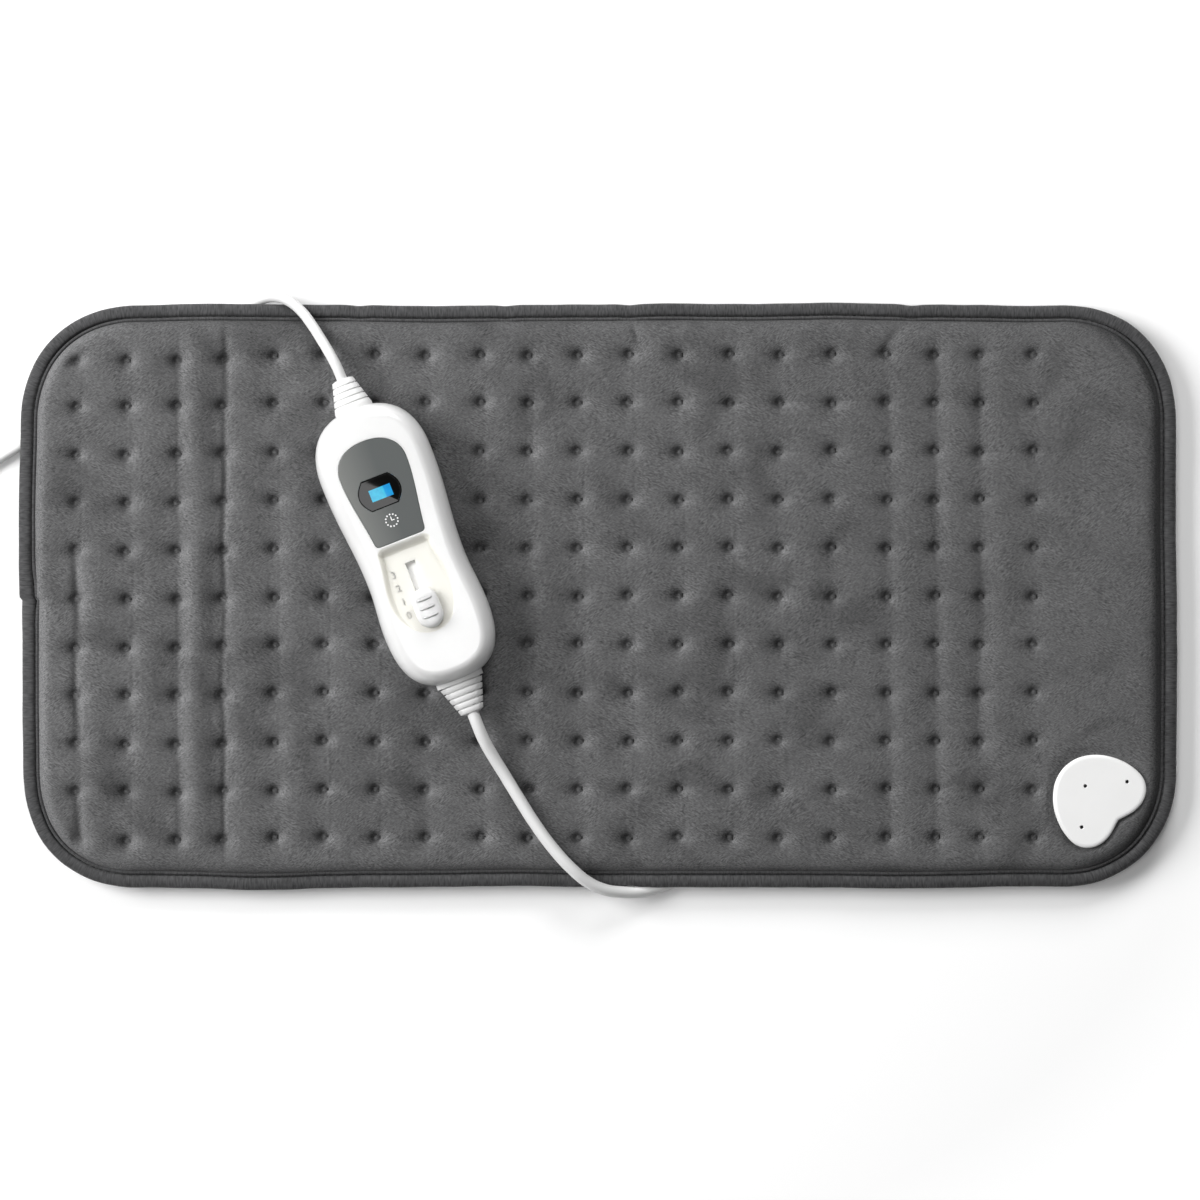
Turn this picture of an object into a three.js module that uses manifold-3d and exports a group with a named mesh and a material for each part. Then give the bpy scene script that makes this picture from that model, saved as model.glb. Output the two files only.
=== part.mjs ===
// A quilted electric heating pad with a wired slide controller lying on it.
// Millimetres, +Z up. The origin is the middle of the pad on the surface that it lies on.

import * as THREE from 'three';
import { mergeVertices } from 'three/addons/utils/BufferGeometryUtils.js';
import Module from 'manifold-3d';

const wasm = await Module();
wasm.setup();

// Clearances
const FIT = 0.3; // between pieces that lie against each other
const CORD_PLAY = 0.5; // round a cord in its groove
const WELD = 1e-4; // corners closer than this are one corner
const OVERCUT = 2; // how far a cutter runs past the face that it opens

// Pad outline and layers
const PAD_LENGTH = 600;
const PAD_WIDTH = 302;
const PAD_CORNER = 60;
const CORNER_STEPS = 5;
const LOWER_THICKNESS = 7.4; // lower quilt
const FLANGE = 1.4; // sewn edge of each quilt
const LOWER_CURVE = [[22, 0], [13.2, 0.16], [8.5, 0.6]]; // in from the edge, share of the flange's height
const CREST = 15; // top of the quilted surface
const TUFT_DEPTH = 3.2; // how far a tuft is drawn down
const CROWN = [[1.2, 2.4], [5.7, 4.7], [15.7, 6.4]]; // in from the binding, up from the flange
const POCKET_INSET = 27; // hollow of the upper quilt that holds the heater
const POCKET_HEIGHT = 3.1;

// Tufts, sewn in a lattice that stops short of the pad's right end
const TUFT_PITCH_X = 26;
const TUFT_PITCH_Y = 25;
const TUFT_FIRST_INSET = 31; // first column, in from the pad's left end
const TUFT_LAST_INSET = 74; // least room past the last column
const TUFT_SIDE_INSET = 25.5; // least room past the outer rows

// Edge binding
const BINDING_WIDTH = 7;
const BINDING_CLOTH = 0.9;
const BINDING_FOLD = 1.2; // cloth at the outer fold

// Heater inside the pad
const CARRIER_THICKNESS = 0.5;
const WIRE_DIAMETER = 2;
const WIRE_LEFT_INSET = 45;
const WIRE_RIGHT_INSET = 95;
const WIRE_RETURN = 17; // from the right-hand turns to the return run
const WIRE_ENTRY_BEND = 8;
const WIRE_BEND_STEPS = 4;
const WIRE_SIDES = 6;
const WIRE_BELOW_PLATE = 5.6; // the first run, below the terminal plate's centre
const WIRE_SIDE_ROOM = 12; // least room between the last run and the pocket's side
const CUTOUT_SIZE = [16, 7, 2];
const CUTOUT_X = -40;

// Terminal plate at the lower right, a heart whose axis points at the pad's corner
const PLATE_END_INSET = 41; // plate centre, in from the pad's right end
const PLATE_SIDE_INSET = 45; // plate centre, in from the pad's lower side
const PLATE_TURN = -Math.PI / 4;
const PLATE_APEX = 25.1; // plate centre to its round end
const PLATE_HALF_WIDTH = 25;
const PLATE_LOBE = 16.8; // plate centre to its two lobes
const PLATE_NOTCH = 14.2; // plate centre to the notch between the lobes
const HEART_WIDEST = 4; // plate centre to its widest place
const HEART_SIDE_PULL = 12; // from the widest place towards the round end
const HEART_SHOULDER_PULL = 8; // from the widest place towards the lobes
const HEART_SHARES = { apex: 0.52, shoulder: 0.76, lobe: 0.46, dip: 0.26, notch: 0.1 }; // of the half width
const HEART_NOTCH_SLOPE = 0.4;
const HEART_STEPS = 3;
const PLATE_THICKNESS = 2.2;
const PLATE_BED = 1.8; // how far the plate is set into the quilt
const RIVET_DIAMETER = 1.6;
const RIVET_HEAD = 4;
const RIVET_SIDES = 8;
const RIVET_HOLE_SIDES = 6;
const RIVET_HEAD_THICKNESS = 0.8;
const RIVET_SUNK = 0.6; // below the plate's face
const RIVETS = [[-10.5, 0.4], [3.2, 17.2], [3.2, -16]]; // along and across the heart's axis
const HOUSING_INSET = 2.5; // the housing below is this much smaller than the plate
const HOUSING_BASE = 0.4;
const BLOCK_SIZE = [14, 13, 2];
const BLOCK_PAST_PLATE = 2; // block centre, past the plate's centre
const BLOCK_WIRE_SPACING = 7.2;
const LEAD_LIFT = 0.2; // the pad's lead, above the surface that the pad lies on
const GLAND_LENGTH = 24;
const GLAND_ROOT = 6.4;
const GLAND_TIP = 4.6;
const GLAND_TURN = 0.235;
const GLAND_REACH = 22; // from the plate's centre to the gland's root

// Controller case, with y along it towards the display
const CASE_X = -98.7;
const CASE_Y = 26.6;
const CASE_TURN = THREE.MathUtils.degToRad(21.4);
const CASE_HEIGHT = 24;
const CASE_PARTING = 9.5;
const CASE_WALL = 2.4;
const HEAD_END = 75.3;
const HEAD_Y = 43.4;
const HEAD_HALF = 30;
const WAIST_Y = -14;
const WAIST_HALF = 26.5;
const TAIL_Y = -41;
const TAIL_HALF = 28.2;
const TAIL_END = -75.3;
const HEAD_PULL = 20; // how far the outline's curves pull, across and along the head
const NECK_PULL = [26, 22]; // from the head down and from the waist up
const HIP_PULL = 10; // from the waist down and from the tail up
const TAIL_PULL = [21.5, 22]; // across and along the tail
const CASE_CURVE_STEPS = 6;
const TOP_ROUND = 9.5;
const BOTTOM_ROUND = 6;
const ROUND_STEPS = 4;

// Display
const FACE_X = -1.4; // middle of the display and the slider, from the case's middle
const FASCIA_LOW = 3.1;
const FASCIA_HIGH = 57;
const FASCIA_WIDE_Y = 42;
const FASCIA_HALF = 18.1;
const FASCIA_FOOT = 13.4;
const FASCIA_CORNER = 2.5;
const FASCIA_FOOT_PULL = [1.4, 14.5]; // out and up from the foot
const FASCIA_FOOT_SPREAD = 0.2;
const FASCIA_SIDE_PULL = 12; // down from the widest place
const FASCIA_SHOULDER_PULL = 10; // up from the widest place
const FASCIA_TOP_PULL = 0.58; // share of the half width
const FASCIA_THICKNESS = 1;
const WINDOW_X = -1.3; // from the face's middle
const WINDOW_Y = 29.7;
const WINDOW_WIDTH = 22.8;
const WINDOW_HEIGHT = 16.4;
const WINDOW_BULGE = 4.2;
const LCD_SIZE = [18, 12, 2.3];
const LCD_VIEW = [15, 9];
const BACKLIGHT_SIZE = [20, 14, 2.9];
const HOLDER_WALL = 1.6;

// Finger recess and slider; the recess floor slopes down towards the display
const RECESS_HIGH = 0.9;
const RECESS_LOW = -46.8;
const RECESS_DEPTH = 3;
const RECESS_HALF_TOP = 13.2;
const RECESS_HALF = 16.2;
const RECESS_FLOOR = 2;
const RECESS_WIDEST = 0.44; // share of its length
const RECESS_PULLS = { top: 0.8, side: 0.62, tip: 0.16 }; // shares of its length
const RECESS_TIP_PULL = 0.55; // share of its half width
const KNOB_REST = -34.6;
const KNOB_LENGTH = 21;
const KNOB_WIDTH = 14;
const KNOB_HEIGHT = 4.6;
const KNOB_CROWN = [[0, 0.55], [1.1, 0.86], [3, 1]]; // in from its side, share of its height
const KNOB_STEPS = 9;
const KNOB_RIDGES = 3;
const RIDGE_PITCH = 4.6;
const RIDGE_SIZE = [8, 1.3, 0.9];
const TRAVEL = 22;
const SLOT_WIDTH = 5.2;
const STEM_SIZE = [4.4, 6];
const STEM_END_PLAY = 0.6;
const SHIELD_WIDTH = 9;
const SHIELD_THICKNESS = 1;
const SHIELD_LAP = 0.8; // past the slot's ends
const LEVER_SIZE = [2.4, 4, 5.4];
const SWITCH_WIDTH = 9;
const SWITCH_HEIGHT = 4.6;
const SWITCH_FLOOR = 0.6;
const SWITCH_END = 4;

// Board and what stands on it
const BOARD_HALF = 16.5;
const BOARD_LOW = -48;
const BOARD_HIGH = 62;
const BOARD_DROP = 15; // below the top of the case
const BOARD_THICKNESS = 1.6;
const POST_RADIUS = 2.5;
const POSTS = [[13, 46], [-13, 46], [13, -44], [-13, -44]];
const TRIAC = { size: [9, 14, 4.6], at: [-11, -33] };
const PAD_TERMINAL = { size: [9, 14, 7], at: [11, -33] };
const CAPACITOR = { size: [9, 13, 7.6], at: [10.5, 11] };
const MAINS_TERMINAL = { size: [20, 8, 8], at: [0, 54] };
const FUSE_DIAMETER = 5;
const FUSE_SIDES = 12;
const FUSE_LENGTH = 14;
const FUSE_AT = [-10.5, 11];

// Case screws
const SCREW_SHANK = 2.5;
const SCREW_HEAD = 5.2;
const SCREW_HEAD_HEIGHT = 2;
const SCREW_LENGTH = 15;
const SCREW_SUNK = 1;
const SCREW_SIDES = 10;
const BOSS_RADIUS = 3.4;
const BOSS_SIDES = 12;
const SCREWS = [[20.8, 50], [-20.8, 50], [17, -58], [-17, -58]];

// Ribbed boots where the cords leave the case
const MAINS_BOOT = { root: 10.2, tip: 5.5, flat: 0.72, length: 16, ribs: 6 };
const PAD_BOOT = { root: 12.6, tip: 5.9, flat: 0.6, length: 18, ribs: 6 };
const BOOT_GROOVE = 0.84; // groove between ribs, as a share of the rib
const BOOT_RIB = 0.6; // share of the pitch that a rib takes
const BOOT_STEP = 0.04; // share of the pitch that a rib's side takes
const BOOT_SIDES = 12;
const BOOT_FLANGE = 1.5;
const BOOT_FLANGE_LENGTH = 2.5;
const BOOT_FLANGE_INSIDE = 6; // from the case's end to the flange

// Cords
const MAINS_DIAMETER = 5.4;
const PAD_LEAD_DIAMETER = 6.2;
const CORD_SIDES = 10;
const CORD_STEP = 2.4; // in diameters
const MAINS_ROUTE = [
  [-134.5, 117.4, 24.7], [-138.3, 124.6, 23.2], [-142.9, 132.2, 20.2], [-148.3, 140.5, 16.7],
  [-154.0, 147.7, 13.7], [-160.2, 152.6, 11.3], [-166.7, 154.8, 8.6], [-173.1, 154.2, 6.1],
  [-179.8, 151.2, 4.1], [-190.0, 145.4, 3.0], [-203.0, 137.4, 2.8], [-222.0, 125.8, 2.8],
  [-248.0, 109.9, 2.8], [-274.0, 94.0, 2.8], [-300.0, 78.1, 2.8], [-320.0, 65.9, 2.8], [-341.0, 53.0, 3.2],
];
const PAD_LEAD_ROUTE = [
  [-62.6, -65.6, 24.6], [-59.5, -73.2, 23.4], [-55.0, -81.6, 20.9], [-49.0, -91.4, 18.9],
  [-41.4, -103.9, 18.5], [-33.0, -117.2, 18.5], [-23.3, -130.4, 18.8], [-13.4, -141.2, 18.2],
  [-5.2, -148.0, 15.8], [3.2, -151.9, 12.8], [12.0, -153.4, 9.3], [21.0, -153.3, 6.4],
  [30.5, -151.4, 4.3], [42.0, -147.9, 3.4], [60.0, -143.6, 3.3], [92.0, -139.6, 3.3],
  [126.0, -136.0, 3.3], [158.0, -130.6, 3.3], [184.0, -124.0, 3.3], [200.0, -119.5, 3.3],
];

// Put-away coil of the mains lead, with its tie and plug
const COIL_X = -381;
const COIL_Y = 77.7;
const COIL_INNER = 17.8;
const COIL_PITCH = 5.9;
const COIL_START = THREE.MathUtils.degToRad(301.5);
const COIL_TURNS = 7.92;
const COIL_CLIMB = 0.25; // in turns, each side of the middle
const COIL_STEPS = 24;
const COIL_SIDES = 6;
const TIE_THICKNESS = 1;
const TIE_WIDTH = 7;
const TIE_ANGLE = THREE.MathUtils.degToRad(150);
const PLUG_X = -377;
const PLUG_TOP = -27.3;
const PLUG_BOOT = { root: 6, tip: 4, flat: 0.95, length: 24, ribs: 6 };
const PLUG_WIDTH = 35.3;
const PLUG_NECK = 15;
const PLUG_LENGTH = 36;
const PLUG_FACE = 11;
const PLUG_THICKNESS = 13.7;
const PLUG_LIFT = 0.1; // above the surface that it lies on
const PIN_DIAMETER = 4;
const PIN_LENGTH = 19;
const PIN_SPACING = 18.6;
const PIN_SEAT = 6;
const PIN_SIDES = 10;
const PLUG_TAIL_ROUTE = [
  [-354.5, 41.2, 9.8], [-362.5, 30.7, 9.1], [-370.0, 21.2, 8.0], [-375.3, 13.5, 7.2],
];

const root = new THREE.Group();

function finish(colour, roughness, metalness = 0) {
  return new THREE.MeshStandardMaterial({ color: colour, roughness, metalness });
}

const plush = finish(0x4b4b4d, 0.95);
const bindingCloth = finish(0x3c3c3e, 0.9);
const fleece = finish(0xb9b7b0, 0.95);
const whiteGloss = finish(0xeeeeea, 0.3);
const whiteCord = finish(0xe8e8e6, 0.45);
const greyFascia = finish(0x707274, 0.45);
const blackGlass = finish(0x0c0d10, 0.1);
const blueDisplay = finish(0x2b5fd0, 0.4);
const boardGreen = finish(0x1f6b3a, 0.6);
const darkPlastic = finish(0x2a2b2d, 0.5);
const steel = finish(0xb8babd, 0.3, 1);
const brass = finish(0xc8a24a, 0.35, 1);
const heaterSheath = finish(0xd8d2c4, 0.6);

function addPart(parent, name, geometry, material) {
  const mesh = new THREE.Mesh(faceOut(weld(geometry)), material);
  mesh.name = name;
  parent.add(mesh);
  return mesh;
}

// Keeps the corners only, joins those that coincide and drops triangles without area.
function weld(geometry) {
  const bare = new THREE.BufferGeometry();
  bare.setAttribute('position', geometry.getAttribute('position').clone());
  if (geometry.index) bare.setIndex(geometry.index.clone());
  const merged = mergeVertices(bare, WELD);
  const corners = merged.index.array;
  const kept = [];
  for (let i = 0; i < corners.length; i += 3) {
    const [a, b, c] = [corners[i], corners[i + 1], corners[i + 2]];
    if (a !== b && b !== c && c !== a) kept.push(a, b, c);
  }
  merged.setIndex(kept);
  return merged;
}

// Turns every face of an inside-out solid round.
function faceOut(geometry) {
  const position = geometry.getAttribute('position');
  const corners = Array.from(geometry.index.array);
  const [a, b, c] = [new THREE.Vector3(), new THREE.Vector3(), new THREE.Vector3()];
  let volume = 0;
  for (let i = 0; i < corners.length; i += 3) {
    a.fromBufferAttribute(position, corners[i]);
    b.fromBufferAttribute(position, corners[i + 1]);
    c.fromBufferAttribute(position, corners[i + 2]);
    volume += a.dot(b.cross(c));
  }
  if (volume < 0) {
    for (let i = 0; i < corners.length; i += 3) {
      [corners[i + 1], corners[i + 2]] = [corners[i + 2], corners[i + 1]];
    }
    geometry.setIndex(corners);
  }
  geometry.computeVertexNormals();
  return geometry;
}

function toSolid(geometry) {
  const closed = faceOut(weld(geometry));
  return new wasm.Manifold(new wasm.Mesh({
    numProp: 3,
    vertProperties: new Float32Array(closed.getAttribute('position').array),
    triVerts: new Uint32Array(closed.index.array),
  }));
}

function toGeometry(solid) {
  const mesh = solid.getMesh();
  const geometry = new THREE.BufferGeometry();
  geometry.setAttribute('position', new THREE.BufferAttribute(mesh.vertProperties, 3));
  geometry.setIndex(new THREE.BufferAttribute(mesh.triVerts, 1));
  return geometry;
}

function cutAll(geometry, cutters) {
  let solid = toSolid(geometry);
  for (const cutter of cutters) solid = solid.subtract(toSolid(cutter));
  return toGeometry(solid);
}

function joinAll(geometries) {
  let solid = toSolid(geometries[0]);
  for (const geometry of geometries.slice(1)) solid = solid.add(toSolid(geometry));
  return toGeometry(solid);
}

// Skins rings of equal count into a closed solid; a looped one has no end caps.
function loft(rings, looped = false, flatten = (p) => new THREE.Vector2(p.x, p.y)) {
  const count = rings[0].length;
  const positions = rings.flat().flatMap((p) => [p.x, p.y, p.z]);
  const corners = [];
  const spans = looped ? rings.length : rings.length - 1;
  for (let r = 0; r < spans; r++) {
    const here = r * count;
    const next = ((r + 1) % rings.length) * count;
    for (let i = 0; i < count; i++) {
      const j = (i + 1) % count;
      corners.push(here + i, here + j, next + j, here + i, next + j, next + i);
    }
  }
  if (!looped) {
    corners.push(...capOf(rings[0], 0, flatten, -1));
    corners.push(...capOf(rings[rings.length - 1], (rings.length - 1) * count, flatten, 1));
  }
  const geometry = new THREE.BufferGeometry();
  geometry.setAttribute('position', new THREE.Float32BufferAttribute(positions, 3));
  geometry.setIndex(corners);
  return geometry;
}

function capOf(ring, first, flatten, side) {
  const flat = ring.map(flatten);
  const sense = side * Math.sign(THREE.ShapeUtils.area(flat));
  const corners = [];
  for (const [a, b, c] of THREE.ShapeUtils.triangulateShape(flat, [])) {
    const turn = Math.sign(THREE.ShapeUtils.area([flat[a], flat[b], flat[c]]));
    if (turn === sense) corners.push(first + a, first + b, first + c);
    else corners.push(first + a, first + c, first + b);
  }
  return corners;
}

function extrude(shape, low, high, curveSegments = 6) {
  const options = { depth: high - low, bevelEnabled: false, curveSegments };
  return new THREE.ExtrudeGeometry(shape, options).translate(0, 0, low);
}

function rectangle(width, height, x = 0, y = 0) {
  const shape = new THREE.Shape();
  shape.moveTo(x - width / 2, y - height / 2);
  shape.lineTo(x + width / 2, y - height / 2);
  shape.lineTo(x + width / 2, y + height / 2);
  shape.lineTo(x - width / 2, y + height / 2);
  shape.closePath();
  return shape;
}

function slab(size, x, y, base) {
  return extrude(rectangle(size[0], size[1], x, y), base, base + size[2]);
}

function disc(radius, x, y, low, high, sides) {
  return extrude(roundSection(radius, sides), low, high).translate(x, y, 0);
}

// A solid of revolution about a vertical line, from pairs of radius and height.
function turned(profile, x, y, sides) {
  return loft(profile.map(([radius, z]) => {
    return roundPoints(radius, sides).map((p) => new THREE.Vector3(x + p.x, y + p.y, z));
  }));
}

function roundPoints(radius, sides) {
  const points = [];
  for (let i = 0; i < sides; i++) {
    const angle = (2 * Math.PI * i) / sides;
    points.push(new THREE.Vector2(radius * Math.cos(angle), radius * Math.sin(angle)));
  }
  return points;
}

function roundSection(radius, sides) {
  return new THREE.Shape(roundPoints(radius, sides));
}

// An outline with two equal sides: curves drawn along one side, then back along the other.
// A curve is one or two points that pull it and the point where it ends.
function evenShape(start, curves, mirror) {
  const shape = new THREE.Shape();
  const draw = (points) => {
    if (points.length === 3) shape.bezierCurveTo(...points.flat());
    else shape.quadraticCurveTo(...points.flat());
  };
  const starts = [start, ...curves.map((curve) => curve[curve.length - 1])];
  shape.moveTo(...start);
  curves.forEach(draw);
  shape.lineTo(...mirror(starts[curves.length]));
  for (let i = curves.length - 1; i >= 0; i--) {
    const pulls = curves[i].slice(0, -1).reverse();
    draw([...pulls, starts[i]].map(mirror));
  }
  return shape;
}

function mirrorX([x, y]) {
  return [-x, y];
}

function mirrorY([x, y]) {
  return [x, -y];
}

function cordCurve(points) {
  return new THREE.CatmullRomCurve3(points, false, 'centripetal');
}

function tube(curve, diameter, sides, steps) {
  return new THREE.ExtrudeGeometry(roundSection(diameter / 2, sides), { extrudePath: curve, steps });
}

function cordTube(curve, diameter) {
  const steps = Math.ceil(curve.getLength() / (CORD_STEP * diameter));
  return tube(curve, diameter, CORD_SIDES, steps);
}

function grooveTube(curve, diameter) {
  return cordTube(curve, diameter + 2 * CORD_PLAY);
}

function vectors(points) {
  return points.map((p) => new THREE.Vector3(...p));
}

// Pad outline, drawn in by a distance, at a height
function padRing(inset, z) {
  const ring = [];
  const radius = PAD_CORNER - inset;
  const signs = [[1, 1], [-1, 1], [-1, -1], [1, -1]];
  signs.forEach(([sx, sy], corner) => {
    const cx = sx * (PAD_LENGTH / 2 - PAD_CORNER);
    const cy = sy * (PAD_WIDTH / 2 - PAD_CORNER);
    for (let i = 0; i <= CORNER_STEPS; i++) {
      const angle = (corner + i / CORNER_STEPS) * (Math.PI / 2);
      ring.push(new THREE.Vector3(cx + radius * Math.cos(angle), cy + radius * Math.sin(angle), z));
    }
  });
  return ring;
}

function padLoft(profile, looped = false) {
  return loft(profile.map(([inset, z]) => padRing(inset, z)), looped);
}

// Heights of the pad's layers, and of the board in the case
const flangeInset = BINDING_FOLD + FIT;
const bodyInset = BINDING_WIDTH + FIT;
const lowerFlange = LOWER_THICKNESS - FLANGE;
const upperBase = LOWER_THICKNESS + FIT;
const upperFlange = upperBase + FLANGE;
const pocketTop = upperBase + POCKET_HEIGHT;
const carrierTop = upperBase + CARRIER_THICKNESS;
const wireBase = carrierTop + FIT;
const plateBed = CREST - PLATE_BED;
const plateBase = plateBed + FIT;
const plateTop = plateBase + PLATE_THICKNESS;
const caseBase = CREST + FIT;
const boardBase = CASE_HEIGHT - BOARD_DROP;
const boardTop = boardBase + BOARD_THICKNESS;

const plateX = PAD_LENGTH / 2 - PLATE_END_INSET;
const plateY = -PAD_WIDTH / 2 + PLATE_SIDE_INSET;
const tuftColumns = 1 + Math.floor((PAD_LENGTH - TUFT_FIRST_INSET - TUFT_LAST_INSET) / TUFT_PITCH_X);
const tuftRows = 1 + Math.floor((PAD_WIDTH - 2 * TUFT_SIDE_INSET) / TUFT_PITCH_Y);
const wireFirstY = plateY - WIRE_BELOW_PLATE;
const wireLastY = PAD_WIDTH / 2 - POCKET_INSET - WIRE_SIDE_ROOM;
const wirePairs = Math.floor(((wireLastY - wireFirstY) / TUFT_PITCH_Y + 1) / 2);

// Cord routes start and end on the pieces that hold them
const caseGroup = new THREE.Group();
caseGroup.position.set(CASE_X, CASE_Y, caseBase);
caseGroup.rotation.z = CASE_TURN;
caseGroup.updateMatrix();
root.add(caseGroup);

function onCase(y) {
  return new THREE.Vector3(0, y, CASE_PARTING).applyMatrix4(caseGroup.matrix);
}

const plateGroup = new THREE.Group();
plateGroup.position.set(plateX, plateY, 0);
plateGroup.rotation.z = PLATE_TURN;
plateGroup.updateMatrix();
root.add(plateGroup);

const leadHeight = PAD_LEAD_DIAMETER / 2 + LEAD_LIFT;
const glandAxis = new THREE.Vector3(Math.cos(GLAND_TURN), Math.sin(GLAND_TURN), 0);
const glandRoot = new THREE.Vector3(plateX, plateY, leadHeight).addScaledVector(glandAxis, -GLAND_REACH);
const glandTip = glandRoot.clone().addScaledVector(glandAxis, -GLAND_LENGTH);

// Coil of the mains lead: the spiral runs in on the lower layer, climbs and runs out again above
const coilLow = TIE_THICKNESS + 2 * FIT + MAINS_DIAMETER / 2;
const coilMiddle = COIL_TURNS / 2;

function coilPoint(turn) {
  const radius = COIL_INNER + COIL_PITCH * Math.abs(turn - coilMiddle);
  const angle = COIL_START - 2 * Math.PI * turn;
  const climbed = THREE.MathUtils.smoothstep(turn, coilMiddle - COIL_CLIMB, coilMiddle + COIL_CLIMB);
  return new THREE.Vector3(
    COIL_X + radius * Math.cos(angle), COIL_Y + radius * Math.sin(angle), coilLow + COIL_PITCH * climbed);
}

function coilCentreline() {
  const points = [];
  const count = Math.round(COIL_TURNS * COIL_STEPS);
  for (let i = 0; i <= count; i++) points.push(coilPoint((COIL_TURNS * i) / count));
  const straight = (end, next) => {
    return end.clone().addScaledVector(end.clone().sub(next).normalize(), MAINS_DIAMETER);
  };
  points.unshift(straight(points[0], points[1]));
  points.push(straight(points[points.length - 1], points[points.length - 2]));
  return points;
}

const coilPoints = coilCentreline();
const coilIn = coilPoints[0];
const coilOut = coilPoints[coilPoints.length - 1];
const coilInWay = coilPoints[1].clone().sub(coilIn).normalize();
const coilOutWay = coilOut.clone().sub(coilPoints[coilPoints.length - 2]).normalize();
const plugAxis = PLUG_THICKNESS / 2 + PLUG_LIFT;
const plugBootTip = PLUG_TOP + FIT + PLUG_BOOT.length;

const mainsCurve = cordCurve([
  onCase(HEAD_END + MAINS_BOOT.length + FIT),
  ...vectors(MAINS_ROUTE),
  coilIn.clone().addScaledVector(coilInWay, -FIT - MAINS_DIAMETER),
  coilIn.clone().addScaledVector(coilInWay, -FIT),
]);
const padLeadCurve = cordCurve([
  onCase(TAIL_END - PAD_BOOT.length - FIT),
  ...vectors(PAD_LEAD_ROUTE),
  glandTip.clone().addScaledVector(glandAxis, -FIT - PAD_LEAD_DIAMETER),
  glandTip.clone().addScaledVector(glandAxis, -FIT),
]);
const plugTailCurve = cordCurve([
  coilOut.clone().addScaledVector(coilOutWay, FIT),
  coilOut.clone().addScaledVector(coilOutWay, FIT + MAINS_DIAMETER),
  ...vectors(PLUG_TAIL_ROUTE),
  new THREE.Vector3(PLUG_X, plugBootTip + FIT + MAINS_DIAMETER, plugAxis),
  new THREE.Vector3(PLUG_X, plugBootTip + FIT, plugAxis),
]);
const cordGrooves = [grooveTube(mainsCurve, MAINS_DIAMETER), grooveTube(padLeadCurve, PAD_LEAD_DIAMETER)];

// The heart: x along its axis towards the notch, y across it
function heartShape(inset) {
  const apex = -PLATE_APEX + inset;
  const half = PLATE_HALF_WIDTH - inset;
  const lobe = PLATE_LOBE - inset;
  const notch = PLATE_NOTCH - inset;
  const share = HEART_SHARES;
  return evenShape([apex, 0], [
    [[apex, -share.apex * half], [HEART_WIDEST - HEART_SIDE_PULL, -half], [HEART_WIDEST, -half]],
    [[HEART_WIDEST + HEART_SHOULDER_PULL, -half], [lobe, -share.shoulder * half], [lobe, -share.lobe * half]],
    [[lobe, -share.dip * half], [notch + HEART_NOTCH_SLOPE, -share.notch * half], [notch, 0]],
  ], mirrorY);
}

function heartSolid(inset, low, high) {
  return extrude(heartShape(inset), low, high, HEART_STEPS);
}

function onPlate(geometry) {
  return geometry.applyMatrix4(plateGroup.matrix);
}

function rivetHoles(low, high) {
  return RIVETS.map(([x, y]) => onPlate(disc(RIVET_DIAMETER / 2 + FIT, x, y, low, high, RIVET_HOLE_SIDES)));
}

// Lines through the tufts, half-way between them and along both edges of the pad
function latticeLines(first, pitch, count, edge) {
  const lines = [-edge];
  for (let i = -1; i < 2 * count; i++) lines.push(first + (i * pitch) / 2);
  lines.push(edge);
  return lines;
}

// Quilted surface: a field of crests with a tuft at every lattice point
function quiltField() {
  const firstX = -PAD_LENGTH / 2 + TUFT_FIRST_INSET;
  const firstY = -((tuftRows - 1) * TUFT_PITCH_Y) / 2;
  const xs = latticeLines(firstX, TUFT_PITCH_X, tuftColumns, PAD_LENGTH / 2 + OVERCUT);
  const ys = latticeLines(firstY, TUFT_PITCH_Y, tuftRows, PAD_WIDTH / 2 + OVERCUT);
  const height = (i, j) => {
    const inside = i > 0 && j > 0 && i < xs.length - 1 && j < ys.length - 1;
    return inside && i % 2 === 0 && j % 2 === 0 ? CREST - TUFT_DEPTH : CREST;
  };
  const positions = [];
  for (const layer of [0, 1]) {
    ys.forEach((y, j) => xs.forEach((x, i) => positions.push(x, y, layer ? height(i, j) : 0)));
  }
  const row = xs.length;
  const top = row * ys.length;
  const corners = [];
  const quad = (a, b, c, d) => corners.push(a, b, c, a, c, d);
  for (let j = 0; j < ys.length - 1; j++) {
    for (let i = 0; i < row - 1; i++) {
      const a = j * row + i;
      const [p, q, r, s] = [top + a, top + a + 1, top + a + row + 1, top + a + row];
      if ((i + j) % 2 === 0) quad(q, r, s, p);
      else quad(p, q, r, s);
      quad(a, a + row, a + row + 1, a + 1);
    }
  }
  for (let i = 0; i < row - 1; i++) {
    const back = (ys.length - 1) * row + i;
    quad(i, i + 1, top + i + 1, top + i);
    quad(back + 1, back, top + back, top + back + 1);
  }
  for (let j = 0; j < ys.length - 1; j++) {
    const left = j * row;
    const right = left + row - 1;
    quad(left + row, left, top + left, top + left + row);
    quad(right, right + row, top + right + row, top + right);
  }
  const geometry = new THREE.BufferGeometry();
  geometry.setAttribute('position', new THREE.Float32BufferAttribute(positions, 3));
  geometry.setIndex(corners);
  return geometry;
}

function heaterRectangle(inset) {
  const drawnIn = 2 * (POCKET_INSET + inset);
  return rectangle(PAD_LENGTH - drawnIn, PAD_WIDTH - drawnIn);
}

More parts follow.
